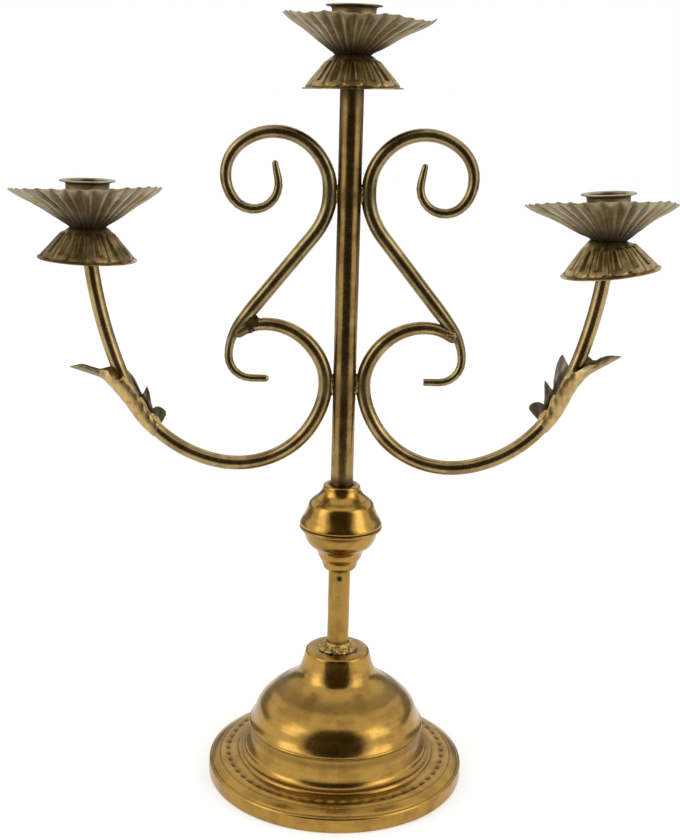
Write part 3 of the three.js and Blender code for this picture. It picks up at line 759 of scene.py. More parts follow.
# %% [markdown]
# ## The knop
#
# The knop is two cups of spun sheet, soldered rim to rim. The upper one steps out twice, from a
# collar round the tube to a shoulder and then to the widest ring. The lower one has the rolled
# edge that the upper one sits in, a band, and a small cone that closes on the lower tube.

# %% Upper half of the knop
knop_upper_outline = profile(
    (6.65, 175.7),
    (1, (9.2, 175.75)),
    (3, (10.1, 175.4), (10.5, 174.5), (10.9, 172.8), (12.1, 170.6), (13.9, 168.6), (15.2, 167.4)),
    (3, (16.9, 166.1), (18.2, 164.5), (18.9, 162.4), (19.8, 160.0), (20.9, 157.6),
        (22.2, 155.4), (23.1, 153.7), (23.2, 152.6), (22.7, 151.7)),
    (1, (21.6, 151.7)),
    (1, (21.2, 154.6), (19.6, 157.6), (18.4, 160.4), (17.7, 162.6), (16.7, 164.4),
        (14.6, 166.2), (12.6, 168.0), (10.9, 170.4), (9.9, 172.8), (9.2, 174.6)),
    (1, (6.65, 174.7)),
    (1, (6.65, 175.7)),
)
knop_upper = spun("knop_upper", knop_upper_outline, 128)
mark(knop_upper, "run", follow_outline(knop_upper, knop_upper_outline))
mark(
    knop_upper, "dirt_and_shade",
    grime_and_shade_near(knop_upper, [(6.6, 175.7, 3.4, 0.9), (15.2, 167.4, 2.0, 0.3),
                            (22.8, 151.9, 0.8, 0.45)]),
)
dent(knop_upper, 0.1, 10, 6)
dress(knop_upper, "knop_upper_half", spun_gold, 40)

# %% [markdown]
# The lower half closes the knop from below. Its outline goes down the outside and comes back up
# inside, like the upper one's.

# %% Lower half of the knop
knop_lower_outline = profile(
    (21.4, 151.6),
    (1, (22.5, 151.6)),
    (3, (23.3, 151.3), (23.4, 150.5), (22.9, 149.7), (21.7, 149.2)),
    (3, (20.9, 147.6), (20.2, 145.2), (19.3, 142.9), (17.9, 140.8), (16.4, 139.4), (15.0, 138.7)),
    (3, (13.6, 137.0), (12.8, 135.2), (12.0, 132.9), (10.7, 130.6), (10.0, 128.6), (9.3, 126.6),
        (8.2, 125.4)),
    (1, (6.5, 125.2)),
    (1, (6.5, 126.2)),
    (1, (8.3, 127.2), (9.1, 129.4), (10.2, 132.0), (11.6, 135.4), (13.4, 138.6), (15.8, 140.6),
        (17.9, 143.2), (19.0, 146.2), (20.2, 149.0), (21.4, 151.6)),
)
knop_lower = spun("knop_lower", knop_lower_outline, 128)
mark(knop_lower, "run", follow_outline(knop_lower, knop_lower_outline))
mark(
    knop_lower, "dirt_and_shade",
    grime_and_shade_near(knop_lower, [(21.6, 149.1, 1.0, 0.35), (14.8, 138.5, 1.4, 0.3),
                            (7.0, 125.3, 1.8, 0.8), (22.6, 151.6, 0.7, 0.45)]),
)
dent(knop_lower, 0.1, 10, 7)
dress(knop_lower, "knop_lower_half", spun_gold, 40)

# %% [markdown]
# ## The upper tube
#
# One long brown tube runs from inside the knop to the top cup. It is a plain length of tube, so its
# finish does the work, with dirt above the knop and at the joints, and a painted shadow under the cup.

# %% Upper tube
upper_tube = spun("upper_tube", tube_outline(6.35, 1, 152.2, 407.6, 170), 72)
dent(upper_tube, 0.07, 12, 8)
# Painted shadow: the wide dark band at the top, reaching well below the top cup's skirt, is the cup's
# shadow on the tube; the narrow rings above the knop and at the joints are dirt.
mark(
    upper_tube, "dirt_and_shade",
    grime_and_shade_near(upper_tube, [(6.35, 178, 5, 0.75), (6.35, 233.4, 9, 0.4), (6.35, 337, 9, 0.35),
                            (6.35, 404, 34, 0.95)]),
)
mark(upper_tube, "run", places(upper_tube)[:, 2])
dress(upper_tube, "upper_stem_tube", drawn_brown)

# %% [markdown]
# ## Bars: the arms and scrolls
#
# Arms and scrolls are round brass bar, bent cold round formers. A curve with a round bevel would
# be quick, but bending a ring round the centre of each bend, a few degrees at a time, is what
# the smith does, and it leaves evenly spaced rings whose size can follow a drawn-out end. Each
# bar starts where it touches the stem and is drawn both ways from there. A positive turn bends
# it to the left of the way ahead, seen from the front.

# %% Helper that draws a bent bar
def stretch_length(stretch):
    """The length of one stretch: straight, or a bend of a radius and a turn."""
    return stretch[0] if len(stretch) == 1 else stretch[0] * math.radians(abs(stretch[1]))


def ring_count(stretch):
    """How many rings one stretch gets, about three and a half millimetres apart."""
    return max(1, round(stretch_length(stretch) / 3.5))


def draw_bar(name, start, ahead, behind, radius_at, sides=32):
    """A round bar through one place, with a radius that depends on the run to each end."""
    to_ahead = sum(stretch_length(stretch) for stretch in ahead)
    to_behind = sum(stretch_length(stretch) for stretch in behind)
    start_fresh()
    first_radius = radius_at(to_ahead, to_behind)
    bpy.ops.mesh.primitive_circle_add(
        vertices=sides,
        radius=mm(first_radius),
        fill_type="NOTHING",
        location=mm(start[0], 0, start[1]),
    )
    piece = bpy.context.object
    piece.name = piece.data.name = name
    bpy.ops.object.transform_apply()
    ring_runs = [0.0]
    centres = [start]
    for stretches, heading, sign in ((ahead, 90, 1), (behind, -90, -1)):
        bpy.ops.object.mode_set(mode="EDIT")
        bpy.ops.mesh.select_all(action="DESELECT")
        bpy.ops.object.mode_set(mode="OBJECT")
        for vertex in piece.data.vertices[:sides]:
            vertex.select = True
        bpy.ops.object.mode_set(mode="EDIT")
        x, z, run, radius = *start, 0.0, first_radius
        for stretch in stretches:
            parts = ring_count(stretch)
            step = stretch_length(stretch) / parts
            for _ in range(parts):
                angle = math.radians(heading)
                if len(stretch) == 1:
                    right, up = step * math.cos(angle), step * math.sin(angle)
                    pull = mm(right, 0, up)
                    bpy.ops.mesh.extrude_region_move(TRANSFORM_OT_translate={"value": pull})
                    x, z = x + right, z + up
                else:
                    bend, turn = math.copysign(stretch[0], stretch[1]), stretch[1] / parts
                    middle = (x - bend * math.sin(angle), z + bend * math.cos(angle))
                    bpy.ops.mesh.spin(
                        steps=1,
                        angle=math.radians(turn),
                        center=mm(middle[0], 0, middle[1]),
                        axis=(0, 1, 0),
                    )
                    heading += turn
                    after = math.radians(heading)
                    x, z = middle[0] + bend * math.sin(after), middle[1] - bend * math.cos(after)
                run += step
                wanted = radius_at(to_ahead - sign * run, to_behind + sign * run)
                ratio = wanted / radius
                bpy.ops.transform.resize(value=(ratio,) * 3, center_override=mm(x, 0, z))
                radius = wanted
                ring_runs.append(sign * run)
                centres.append((x, z))
        bpy.ops.object.mode_set(mode="OBJECT")
    mark(piece, "run", np.repeat(ring_runs, sides))
    return piece, np.array(centres)


def close_end(piece, centre, heading, radius, rounded):
    """Close the open end that is nearest a place: domed, or square with an eased edge."""
    where = places(piece)
    wanted = np.linalg.norm(where - np.array([centre[0], 0, centre[1]]), axis=1) < radius * 1.05
    make_active(piece)
    bpy.ops.object.mode_set(mode="EDIT")
    bpy.ops.mesh.select_all(action="DESELECT")
    bpy.ops.object.mode_set(mode="OBJECT")
    piece.data.vertices.foreach_set("select", wanted)
    bpy.ops.object.mode_set(mode="EDIT")
    out = Vector((math.cos(math.radians(heading)), 0, math.sin(math.radians(heading))))
    rises = (20, 40, 60, 78) if rounded else (6, 10)
    reached, size = 0.0, 1.0
    for rise in rises:
        level = math.sin(math.radians(rise))
        smaller = math.cos(math.radians(rise)) if rounded else 1 - level * 0.5
        bpy.ops.mesh.extrude_region_move(
            TRANSFORM_OT_translate={"value": out * mm(radius * (level - reached))}
        )
        spot = mm(centre[0], 0, centre[1]) + out * mm(radius * level)
        bpy.ops.transform.resize(value=(smaller / size,) * 3, center_override=spot)
        reached, size = level, smaller
    bpy.ops.mesh.edge_face_add()
    bpy.ops.mesh.select_all(action="SELECT")
    bpy.ops.mesh.normals_make_consistent(inside=False)
    bpy.ops.object.mode_set(mode="OBJECT")


def half_turned(piece, name):
    """The same piece on the left: half a turn about the stem."""
    twin = copy_of(piece, name)
    twin.data.transform(Matrix.Rotation(math.pi, 4, "Z"))
    return twin


def seat_on_stem(piece, height):
    """Ease a bar onto the stem where it is brazed, over a few centimetres."""
    where = places(piece)
    near = ease(1 - np.abs(where[:, 2] - height) / 26) * ease((24 - np.abs(where[:, 0])) / 8)
    where[:, 0] -= 0.75 * near * np.sign(where[:, 0])
    put_places(piece, where)


# %% [markdown]
# The arm goes down from the stem in one long sweep and up to its cup, with bends that grow wider
# towards the outside. The other way it goes up and over to the scroll, drawn down a little, and
# ends against the scroll's side.

# %% Arms
contact_x = 11.15
arm_contact, scroll_contact = 233.4, 337.0
arm_bends = [(46, 56), (51, 36), (54.8, 10), (69, 54.4), (249, 19.2), (15, 4.4), (5.4,)]
crook_bends = [(32.5, -91), (25, -35)]


def arm_radius(to_crook, _to_cup):
    """Full size, but drawn down over the crook."""
    return 3.3 + 0.7 * min(to_crook / 45, 1)


right_arm, arm_centres = draw_bar(
    "arm_right", (contact_x, arm_contact), crook_bends, arm_bends, arm_radius
)
cup_end = arm_centres[-1]
print("the arm ends at", cup_end.round(1), "mm")
close_end(right_arm, tuple(cup_end), 90, 4, False)
crook_rings = sum(ring_count(bend) for bend in crook_bends)
close_end(right_arm, tuple(arm_centres[crook_rings]), -36, 3.3, True)
seat_on_stem(right_arm, arm_contact)

# %% [markdown]
# The scroll is one bar with both ends drawn out. Its top goes up from the stem and round in
# three bends, each tighter than the last, to a thin tip. Its foot slopes away from the stem and
# curls in again under the crook of the arm. The right foot was cut off square, and the left one
# was hammered round.

# %% Scrolls
scroll_top = [(3.4,), (28.8, -133), (20.9, -85), (13.4, -154), (8.5,)]
scroll_foot = [(36.5, 38.9), (61,), (30, -38.9), (12.3, -90), (8,)]


def scroll_radius(to_tip, to_foot):
    """Drawn out gently to the top tip, and sharply to the foot."""
    top = 1.6 + 2.4 * min(to_tip / 150, 1) ** 0.55
    thin = 2.0 + 0.4 * min(to_foot / 32, 1)
    return min(top, thin + (4 - thin) * float(ease((to_foot - 32) / 30)))


right_scroll, scroll_centres = draw_bar(
    "scroll_right", (contact_x, scroll_contact), scroll_top, scroll_foot, scroll_radius
)
top_rings = sum(ring_count(bend) for bend in scroll_top)
tip, foot_tip = scroll_centres[top_rings], scroll_centres[-1]
tip_heading = 90 + sum(bend[1] for bend in scroll_top if len(bend) > 1)
close_end(right_scroll, tuple(tip), tip_heading, 1.6, True)
left_scroll = copy_of(right_scroll, "scroll_left")
close_end(right_scroll, tuple(foot_tip), 180, 2.0, False)
close_end(left_scroll, tuple(foot_tip), 180, 2.0, True)
for scroll in (right_scroll, left_scroll):
    seat_on_stem(scroll, scroll_contact)
left_scroll.data.transform(Matrix.Rotation(math.pi, 4, "Z"))
left_arm = half_turned(right_arm, "arm_left")
print("scroll tip", tip.round(1), "foot", foot_tip.round(1))

# %% [markdown]
# Flux and soot stay on a bar wherever it was brazed, so dirt gathers round each of its joints.

# %% Finish the bars
for piece, node, finish in (
    (right_arm, "right_arm", drawn_olive),
    (left_arm, "left_arm", drawn_olive),
    (right_scroll, "right_scroll", drawn_grey),
    (left_scroll, "left_scroll", drawn_grey),
):
    where = places(piece)
    reach = np.abs(where[:, 0])
    joints = [(8, arm_contact), (8, scroll_contact), (57.0, 262.5)]
    grime = np.zeros(len(where))
    for joint_x, joint_z in joints:
        gap = np.hypot(reach - joint_x, where[:, 2] - joint_z)
        grime = np.maximum(grime, 0.6 * ease(1 - gap / 11))
    mark(piece, "dirt_and_shade", grime)
    dress(piece, node, finish, 50)

# %% [markdown]
# ## Leaves
#
# A thin stamped leaf is folded round the outside of each arm, half way up to the cup. It holds
# the arm at its foot and leaves it slowly, so that a hollow opens at its top, and its long tip
# curls away nearly level as a narrow channel. Three lobes stand off behind the arm, the lowest
# one round and the others pointed. The lobes in front were pressed short.

# %% Where the leaf lies on the arm
def place_on_bar(start, heading, stretches, run):
    """The place on a bent bar's middle line, and its heading there."""
    x, z = start
    for stretch in stretches:
        part = min(run, stretch_length(stretch))
        before = math.radians(heading)
        if len(stretch) == 1:
            x, z = x + part * math.cos(before), z + part * math.sin(before)
        else:
            bend = math.copysign(stretch[0], stretch[1])
            heading += math.degrees(part / bend)
            after = math.radians(heading)
            x += bend * (math.sin(after) - math.sin(before))
            z -= bend * (math.cos(after) - math.cos(before))
        run -= part
        if run <= 0:
            break
    return x, z, heading


arm_length = sum(stretch_length(bend) for bend in arm_bends)


def midrib_at(leaf, distance):
    """A point of the midrib, with the ways out from the arm and on to the leaf's tip."""
    run = arm_length - leaf["foot"] + min(distance, leaf["lies"])
    x, z, heading = place_on_bar((contact_x, arm_contact), -90, arm_bends, run)
    angle = math.radians(heading)
    clear = 4.35 + 0.4 * float(ease(distance / 8))
    start = (x + clear * math.sin(angle), z - clear * math.cos(angle))
    x, z, heading = place_on_bar(start, heading, leaf["bends"], max(distance - leaf["lies"], 0))
    angle = math.radians(heading)
    on = Vector((math.cos(angle), 0, math.sin(angle)))
    return Vector((x, 0, z)), Vector((on.z, 0, -on.x)), on


# %% [markdown]
# The leaf is cut from a flat grid: each row is as wide as the cut edge says. Every row is then
# folded round the arm, tightly at the foot and widely at the top. Raised veins run out from the
# midrib to the points of the lobes. Both leaves come from the same flat blank, and each is
# folded where it was fixed, because the right one was set higher on its arm than the left one.

# %% Fold one leaf
leaf_half_width = 21.3
leaf_edge = [
    (0, 0.09), (0.008, 0.19), (0.02, 0.33), (0.034, 0.54), (0.044, 0.74), (0.058, 0.86),
    (0.078, 0.91), (0.107, 0.93), (0.136, 0.91), (0.155, 0.86), (0.17, 0.77), (0.18, 0.64),
    (0.2, 0.69), (0.25, 0.8), (0.3, 0.9), (0.338, 0.95), (0.35, 0.65), (0.38, 0.68),
    (0.43, 0.79), (0.49, 0.92), (0.54, 0.99), (0.565, 1), (0.578, 0.68), (0.6, 0.57),
    (0.64, 0.53), (0.68, 0.52), (0.7, 0.46), (0.72, 0.37), (0.74, 0.31), (0.77, 0.28),
    (0.82, 0.28), (0.87, 0.265), (0.91, 0.23), (0.94, 0.18), (0.965, 0.12), (0.985, 0.07),
    (1, 0.02),
]
cut_at, cut_width = np.array(leaf_edge).T


def fold_leaf(piece, leaf):
    """Fold a flat blank round the arm, with the short lobes on the half that faces the viewer."""
    back_length, tip_arc, tip_length = [stretch_length(bend) for bend in leaf["bends"]]
    flat = places(piece) / 1000
    folded = np.empty_like(flat)
    grime = np.empty(len(flat))
    top = leaf["lies"] + back_length
    for index, (side, length, _) in enumerate(flat):
        share = (length + 1) / 2
        distance = share * (top + tip_arc + tip_length)
        spot, out, on = midrib_at(leaf, distance)
        opened = float(ease(distance / top))
        closed = float(ease((distance - top) / tip_arc))
        fold = (4.6 + 0.4 * float(ease(distance / 8)) + 3.6 * opened) * (1 - closed) + 3.0 * closed
        most = math.radians(125 - 30 * opened)
        width = abs(side) * leaf_half_width * float(np.interp(share, cut_at, cut_width))
        bent = min(width / fold, most)
        loose = width - fold * bent
        faces_viewer = side * leaf["front"] > 0
        lobe = 0 if share < 0.18 else 1 if share < 0.345 else 2
        loose *= 0.35 if faces_viewer else leaf["lobes"][lobe]
        facing = bent - math.radians(35) * float(ease(loose / 2))
        vein = math.sin((distance - 0.75 * width) * 2 * math.pi / 5.8)
        lift = 0.15 * math.exp(-((width / 1.1) ** 2)) + 0.12 * vein * float(ease(width / 4))
        lift *= 1 - 0.5 * closed
        outward = fold * math.cos(bent) - loose * math.sin(facing) + lift * math.cos(facing) - fold
        sideways = fold * math.sin(bent) + loose * math.cos(facing) + lift * math.sin(facing)
        across = Vector((0, math.copysign(1, side) * sideways, 0))
        lean = 0.6 * float(ease((distance - 8) / 5))
        folded[index] = spot + out * outward + on * (lean * loose) + across
        # Painted shade: the lobes of the half turned away from the viewer, the hollow of the curled tip
        # and the leaf's foot on the arm are darkened to the grey stain colour; the troughs between the
        # veins are a little darker too.
        far_half_shade = 0.0 if faces_viewer else 0.95 * float(ease((width - 8) / 5))
        foot_shadow = 0.7 * float(ease(1 - distance / 4.5))
        grime[index] = max(far_half_shade, 0.55 * closed, foot_shadow, 0.2 * max(-vein, 0))
    put_places(piece, folded)
    mark(piece, "dirt_and_shade", grime)
    mark(piece, "run", places(piece)[:, 2])
    thicken(piece, 0.55)


# %% [markdown]
# The blank is one flat grid. Each leaf has its own place on its arm, its own bends and its own
# lobes, and the left one is turned half round the stem once it is folded.

# %% Both leaves
start_fresh()
bpy.ops.mesh.primitive_grid_add(x_subdivisions=44, y_subdivisions=190, size=2)
leaf_blank = bpy.context.object
leaves = {
    "right": dict(
        foot=109, lies=21.5, bends=[(51, -12), (24, -24), (16.5,)], front=-1, lobes=(1, 1, 1)
    ),
    "left": dict(
        foot=119.5, lies=17.5, bends=[(117, -11), (9, -28), (16.5,)], front=1,
        lobes=(0.75, 0.7, 0.25),
    ),
}
for side, leaf in leaves.items():
    piece = copy_of(leaf_blank, f"leaf_{side}")
    fold_leaf(piece, leaf)
    if side == "left":
        piece.data.transform(Matrix.Rotation(math.pi, 4, "Z"))
    dress(piece, f"{side}_leaf", leaf_brass, 55)
bpy.data.objects.remove(leaf_blank)

# %% [markdown]
# ## Braze
#
# Each arm and scroll is brazed to the stem, and to each other, with a small lump that ran into
# the corner and froze rough. A sphere is drawn out along the joint and its skin pushed about by
# noise. The joint on the left between arm and scroll was heated again, and is larger and darker.

# %% Braze lumps
def braze_lump(name, node, centre, sizes, lean, seed, soot=0):
    """A rough lump of braze with half sizes along, across and up, turned by its lean."""
    start_fresh()
    bpy.ops.mesh.primitive_ico_sphere_add(subdivisions=5, radius=mm(1))
    lump = bpy.context.object
    lump.name = lump.data.name = name
    bpy.ops.object.mode_set(mode="EDIT")
    bpy.ops.mesh.select_all(action="SELECT")
    bpy.ops.transform.resize(value=sizes, center_override=(0, 0, 0))
    bpy.ops.object.mode_set(mode="OBJECT")
    where = places(lump)
    bumps = wander(where, 2.4, seed) + 0.5 * wander(where, 1.1, seed + 1)
    where *= (1 + 0.22 * bumps)[:, None]
    put_places(lump, where)
    lump.data.transform(Matrix.Rotation(-math.radians(lean), 4, "Y"))
    lump.data.transform(Matrix.Translation(mm(*centre)))
    mark(lump, "dirt_and_shade", np.maximum(0.6 * ease(-bumps * 1.5), soot))
    mark(lump, "run", places(lump)[:, 2])
    dress(lump, node, braze_metal, 60)


for side, sign in (("right", 1), ("left", -1)):
    for part, height, sizes, seed in (
        ("arm", arm_contact, (2.0, 3.0, 6), 11 + sign),
        ("scroll", scroll_contact, (1.8, 2.8, 5), 21 + sign),
    ):
        spot = (6.7 * sign, 0, height)
        braze_lump(f"braze_{side}_{part}", f"{side}_{part}_braze", spot, sizes, 0, seed)
braze_lump("braze_right_joint", "right_joint_braze", (57.2, 0, 262.4), (4.6, 3.6, 3.6), -32, 31)
braze_lump(
    "braze_left_joint", "left_joint_braze", (-51.6, 0, 265.8), (5.8, 4.1, 4.4), 34, 41, soot=0.9
)

# %% [markdown]
# ## Cups
#
# Each cup is a stack on the end of its bar: a stamped skirt, a fluted drip pan, a candle socket, and a
# screw through them all. They are modelled once, standing on a bar end at the origin, and copied to the
# three places. No two real ones are quite alike, so each copy is bent one by one: the skirt's cone tilts,
# and the pan's rim leans and waves its own way.

# %% Skirt, as stamped
skirt_outline = profile(
    (2.4, 0.9),
    (3, (8.6, 0.9)),
    (3, (9.9, 0.7), (11.6, -0.5), (13.3, -2.2)),
    (30, (24.0, -14.6)),
    (3, (24.9, -15.3), (26.6, -15.7)),
)
skirt_panels, skirt_top, skirt_hem = 14, 13.0, 24.2
skirt_pattern = spun("skirt_pattern", skirt_outline, 22 * skirt_panels)
where = places(skirt_pattern)
radius = np.hypot(where[:, 0], where[:, 1])
angle = np.arctan2(where[:, 1], where[:, 0])
down = (radius - skirt_top) / (skirt_hem - skirt_top)
across = np.abs((angle * skirt_panels / (2 * math.pi)) % 1 - 0.5) * 2
# Each panel is a raised frame round a narrow channel, which a band closes just above the hem.
closing = np.sqrt(np.clip(1 - (np.clip(down - 0.72, 0, 1) / 0.1) ** 2, 0, 1))
channel = ease((0.36 * closing - across) / 0.2 + 0.5) * (closing > 0.05)
corner = np.sqrt(np.clip(1 - (np.clip(down - 0.88, 0, 1) / 0.12) ** 2, 0, 1))
frame_face = ease((0.9 * corner - across) / 0.16 + 0.5)
fade = ease((down + 0.06) / 0.16) * ease((1.08 - down) / 0.1)
relief = (0.7 * frame_face - 0.9 * channel) * fade
where[:, 0] += relief * 0.75 * np.cos(angle)
where[:, 1] += relief * 0.75 * np.sin(angle)
where[:, 2] += relief * 0.66
put_places(skirt_pattern, where)
mark(skirt_pattern, "run", follow_outline(skirt_pattern, skirt_outline))
gully = np.maximum(0.5 * (1 - frame_face), 0.6 * channel) * fade
skirt_dirt = np.maximum(gully, grime_and_shade_near(skirt_pattern, [(8, 0.9, 4, 0.8)]))
mark(skirt_pattern, "dirt_and_shade", skirt_dirt)
thicken(skirt_pattern, 0.55)

# %% [markdown]
# The pan is spun through its lower face, because that is the face that shows from the front,
# and thirty-two flutes open out towards its rim. A worn stamp leaves them uneven in width and
# depth, with a fainter line beside most of them, so the wave that shapes them drifts round.

# %% Drip pan, as stamped
pan_outline = profile(
    (2.4, 1.25),
    (3, (8.8, 1.25)),
    (4, (9.7, 1.6), (10.8, 2.6), (14.3, 4.7), (18.8, 7.6), (23.2, 10.6), (28.1, 13.6),
        (32.3, 15.8), (36.2, 17.9), (39.2, 19.5), (40.2, 20.2)),
)
flutes, pan_seat, pan_rim = 32, 9, 40.2
pan_pattern = spun("pan_pattern", pan_outline, 12 * flutes)
where = places(pan_pattern)
radius = np.hypot(where[:, 0], where[:, 1])
angle = np.arctan2(where[:, 1], where[:, 0])
out = np.clip((radius - pan_seat) / (pan_rim - pan_seat), 0, 1)
drift = wander(np.column_stack([12 * np.cos(angle), 12 * np.sin(angle), 0 * angle]), 4.5, 51)
wave = np.cos(angle * flutes + 1.1 * drift)
beside = np.cos(2 * angle * flutes + 4 * drift)
uneven = 1 + 0.45 * wander(np.column_stack([where[:, 0], where[:, 1], 0 * radius]), 8, 53)
rib = wave + 0.2 * beside
rim_calm = 1 - 0.6 * ease((out - 0.8) / 0.2)
where[:, 2] += 0.66 * rib * out**0.5 * uneven * rim_calm
scallop = (0.25 * wave * uneven - 0.35) * ease((out - 0.9) / 0.1)
where[:, :2] *= (1 + scallop / pan_rim)[:, None]
put_places(pan_pattern, where)
mark(pan_pattern, "run", follow_outline(pan_pattern, pan_outline))
streaks = wander(np.column_stack([12 * np.cos(angle), 12 * np.sin(angle), 2 * out]), 2.6, 54)
tarnish = 0.5 * ease(1.6 * streaks) * (1 - 0.5 * out) + 0.3 * ease((wave - 0.4) / 0.6)
# Partly painted reflection: the dark waist is dirt in the crease at the seat, and it reaches out over
# half the pan to stand for the dark front of the room mirrored in the pan's middle.
waist = grime_and_shade_near(pan_pattern, [(9.0, 1.4, 21, 0.92)])
mark(pan_pattern, "dirt_and_shade", np.maximum(tarnish, waist))
thicken(pan_pattern, 0.5)

# %% [markdown]
# The socket is a short cup of thin tube with a flat flange round its mouth. Its floor is dished
# for the screw, and the candle stands on the ring round it.

# %% Candle socket
socket_outline = profile(
    (2.4, 2.15),
    (2, (8.0, 2.15)),
    (3, (9.6, 3.0), (11.1, 4.4), (11.6, 5.6)),
    (10, (11.6, 24.2)),
    (2, (11.9, 25.0), (13.0, 25.6)),
    (2, (14.5, 25.75), (14.85, 26.1), (14.6, 26.5), (13.4, 26.65)),
    (2, (11.8, 26.6), (11.05, 26.2), (11.0, 25.4)),
    (8, (11.0, 6.0)),
    (2, (9.6, 4.0), (7.6, 3.15)),
    (2, (4.0, 3.15)),
    (1, (4.0, 2.65)),
    (1, (2.4, 2.65)),
    (1, (2.4, 2.15)),
)
socket_pattern = spun("socket_pattern", socket_outline, 96)
dent(socket_pattern, 0.08, 8, 61)
mark(socket_pattern, "run", follow_outline(socket_pattern, socket_outline))
where = places(socket_pattern)
# Painted shade: the inside of the socket below its mouth is darker, and a ring of painted shadow lies
# round the neck under the flange.
inside = np.hypot(where[:, 0], where[:, 1]) < 11.25
flange_shadow = grime_and_shade_near(socket_pattern, [(11.7, 24.6, 2.0, 0.45)])
mark(socket_pattern, "dirt_and_shade", np.maximum(0.3 * inside * (where[:, 2] < 24.5), flange_shadow))

# %% [markdown]
# A slotted screw holds the stack. Its head is spun, and the slot is a bar cut out of it.

# %% Socket screw
screw_outline = profile(
    (0.0, -7.8),
    (1, (2.0, -7.6)),
    (1, (2.0, 2.95)),
    (1, (3.5, 2.95)),
    (3, (3.6, 3.1), (3.6, 4.2), (3.3, 4.8), (2.4, 5.05), (0.0, 5.15)),
)
screw_pattern = spun("screw_pattern", screw_outline, 48)
bpy.ops.mesh.primitive_cube_add(size=mm(1), location=mm(0, 0, 5.1))
slot_cutter = bpy.context.object
slot_cutter.scale = (9, 0.9, 2.2)
make_active(screw_pattern)
bpy.ops.object.modifier_add(type="BOOLEAN")
screw_pattern.modifiers[-1].object = slot_cutter
screw_pattern.modifiers[-1].operation = "DIFFERENCE"
bpy.ops.object.modifier_apply(modifier=screw_pattern.modifiers[-1].name)
bpy.data.objects.remove(slot_cutter)
mark(screw_pattern, "run", places(screw_pattern)[:, 2])

# %% [markdown]
# Now the three stacks. A tilt is in degrees, about the front-to-back line first and then about
# the side-to-side line. It bends only what lies outside the clamped seat, so the middle of each
# piece stays flat on the one below.

# %% Bend, lean and place one cup
def lean(piece, free, tilt_right, tilt_front):
    """Turn what is free about the seat: the right side down, and the front up, by these tilts."""
    where = places(piece)
    right, front = math.tan(math.radians(tilt_right)), math.tan(math.radians(tilt_front))
    x, y, z = where.T.copy()
    where[:, 0] += free * z * right
    where[:, 1] += free * z * front
    where[:, 2] -= free * (x * right + y * front)
    put_places(piece, where)


def beyond(piece, seat_radius):
    """How free each point is of the clamped seat: 0 inside it and 1 well outside."""
    where = places(piece)
    return ease((np.hypot(where[:, 0], where[:, 1]) - seat_radius) / 6)


def wave_rim(piece, heights, radius_of_rim, spread, push):
    """Bend a rim: heights at even steps of a turn, a spread, and a push to one side."""
    where = places(piece)
    radius = np.hypot(where[:, 0], where[:, 1])
    turn = (np.arctan2(where[:, 1], where[:, 0]) / (2 * math.pi)) % 1
    known = np.array([*heights, heights[0]])
    steps = turn * len(heights)
    low = steps.astype(int)
    share = ease(steps - low)
    bend = known[low] * (1 - share) + known[low + 1] * share
    out = np.clip((radius - 12) / (radius_of_rim - 12), 0, 1.1)
    where[:, 2] += bend * out**2.2
    where[:, :2] *= (1 + (spread - 1) * out)[:, None]
    where[:, 0] += push * out**1.2
    put_places(piece, where)


def soil(piece, values):
    """Add dirt where a piece has less of it than these values."""
    dirt_and_shade = piece.data.attributes["dirt_and_shade"].data
    held = np.empty(len(dirt_and_shade))
    dirt_and_shade.foreach_get("value", held)
    dirt_and_shade.foreach_set("value", np.maximum(held, values))


# %% [markdown]
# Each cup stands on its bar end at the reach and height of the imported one. The tilts of its
# three pieces, the rise and fall of its rim at sixteen places, its spread and its push to one
# side are what can be seen of that cup. The pan's flutes are turned so that no two pans look
# alike, and the left skirt is the dirtiest.

# %% How each cup was bent
cups = {
    "top": dict(
        x=0, height=407.6, skirt=(-1, 0), pan=(1.5, 0), socket=(0, 0), spread=1, push=2.6,
        turned=40, grime=0.0,
        rim=[1.2, -1.2, 0.3, -0.4, 0.3, 0.6, -0.5, 0.4, 0.6, 0.8, -0.4, 0.6, -0.2, 0.6, -0.9, -1.0],
    ),
    "right": dict(
        x=140.2, height=314.8, skirt=(-8, 0), pan=(-2.5, 6), socket=(-4, 0), spread=1.02, push=-4,
        turned=80, grime=0.0,
        rim=[-1.6, -1.0, 0.4, -0.5, 0.5, -0.3, 0.6, -0.2, 0.4, 0.6, 0.9, 0.3, 0.7, 0.2, 0.5, -0.9],
    ),
    "left": dict(
        x=-140.2, height=314.8, skirt=(2.4, 0), pan=(0, 5), socket=(0.5, 0), spread=1.02,
        push=-1.2, turned=120, grime=0.6,
        rim=[2.8, 1.8, 1.0, 0.2, 0.3, -0.3, 0.2, -0.2, -0.3, 0.3, 0.1, 0.3, 0.2, 0.6, 2.0, 3.0],
    ),
}
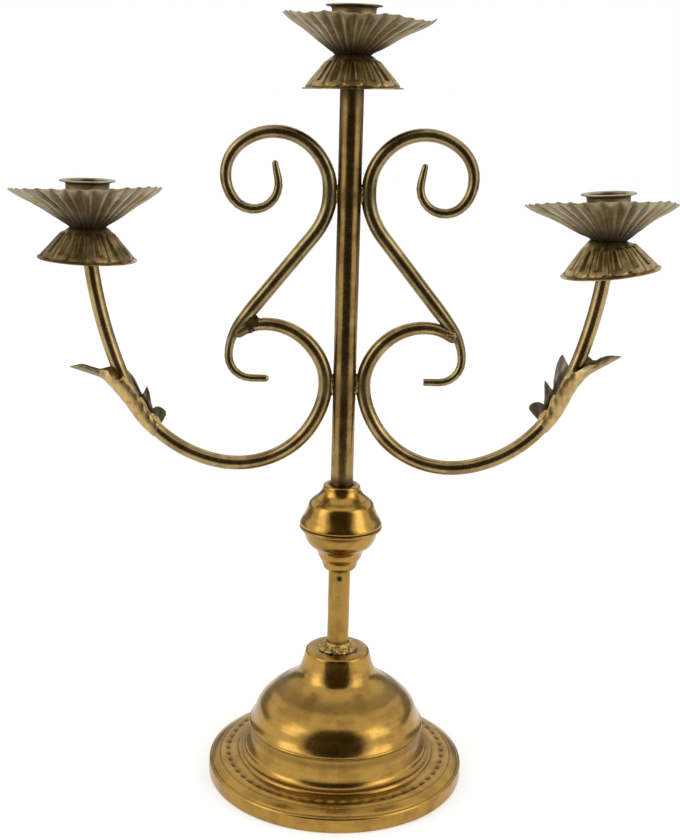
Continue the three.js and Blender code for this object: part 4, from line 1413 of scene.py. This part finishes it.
for place, cup in cups.items():
    skirt = copy_of(skirt_pattern, f"skirt_{place}")
    soil(skirt, cup["grime"] * ease(0.6 + 1.8 * wander(places(skirt), 9, 55)))
    lean(skirt, beyond(skirt, 9.5), *cup["skirt"])
    pan = copy_of(pan_pattern, f"pan_{place}")
    pan.data.transform(Matrix.Rotation(math.radians(cup["turned"]), 4, "Z"))
    wave_rim(pan, cup["rim"], pan_rim, cup["spread"], cup["push"])
    lean(pan, beyond(pan, 9.5), *cup["pan"])
    socket = copy_of(socket_pattern, f"socket_{place}")
    lean(socket, ease((places(socket)[:, 2] - 5) / 8), *cup["socket"])
    screw = copy_of(screw_pattern, f"screw_{place}")
    for piece, node, finish, slot, sharp in (
        (skirt, f"{place}_skirt", stamped_brown, "grey_brass", 45),
        (pan, f"{place}_drip_pan", stamped_grey, "grey_brass", 50),
        (socket, f"{place}_socket", stamped_grey, "grey_brass", 40),
        (screw, f"{place}_socket_screw", dull_steel, "steel", 35),
    ):
        piece.data.transform(Matrix.Translation(mm(cup["x"], 0, cup["height"])))
        dress(piece, node, finish, sharp)
for pattern in (skirt_pattern, pan_pattern, socket_pattern, screw_pattern):
    bpy.data.objects.remove(pattern)

# %% [markdown]
# ## Hidden fittings
#
# The washer, nut, rod and plugs are plain turned steel and brass inside the foot and stem. The
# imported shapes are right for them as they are, so they only get their finishes.

# %% Finishes for the hidden fittings
for node in ("base_washer", "base_nut", "tie_rod"):
    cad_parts[node].data.materials.clear()
    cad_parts[node].data.materials.append(dull_steel)
for node in ("upper_stem_foot_plug", "stem_top_plug"):
    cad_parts[node].data.materials.clear()
    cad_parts[node].data.materials.append(spun_gold)

# %% [markdown]
# ## Sizes, and the end
#
# The last step prints the dressed model's box beside the imported model's.

# %% Print the sizes of both boxes
seen_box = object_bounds()
boxes = {"packed": [list(corner) for corner in cad_box], "dressed": [list(corner) for corner in seen_box]}
for name, (low, high) in boxes.items():
    print(name, [round(1000 * value, 1) for value in (*low, *high)])
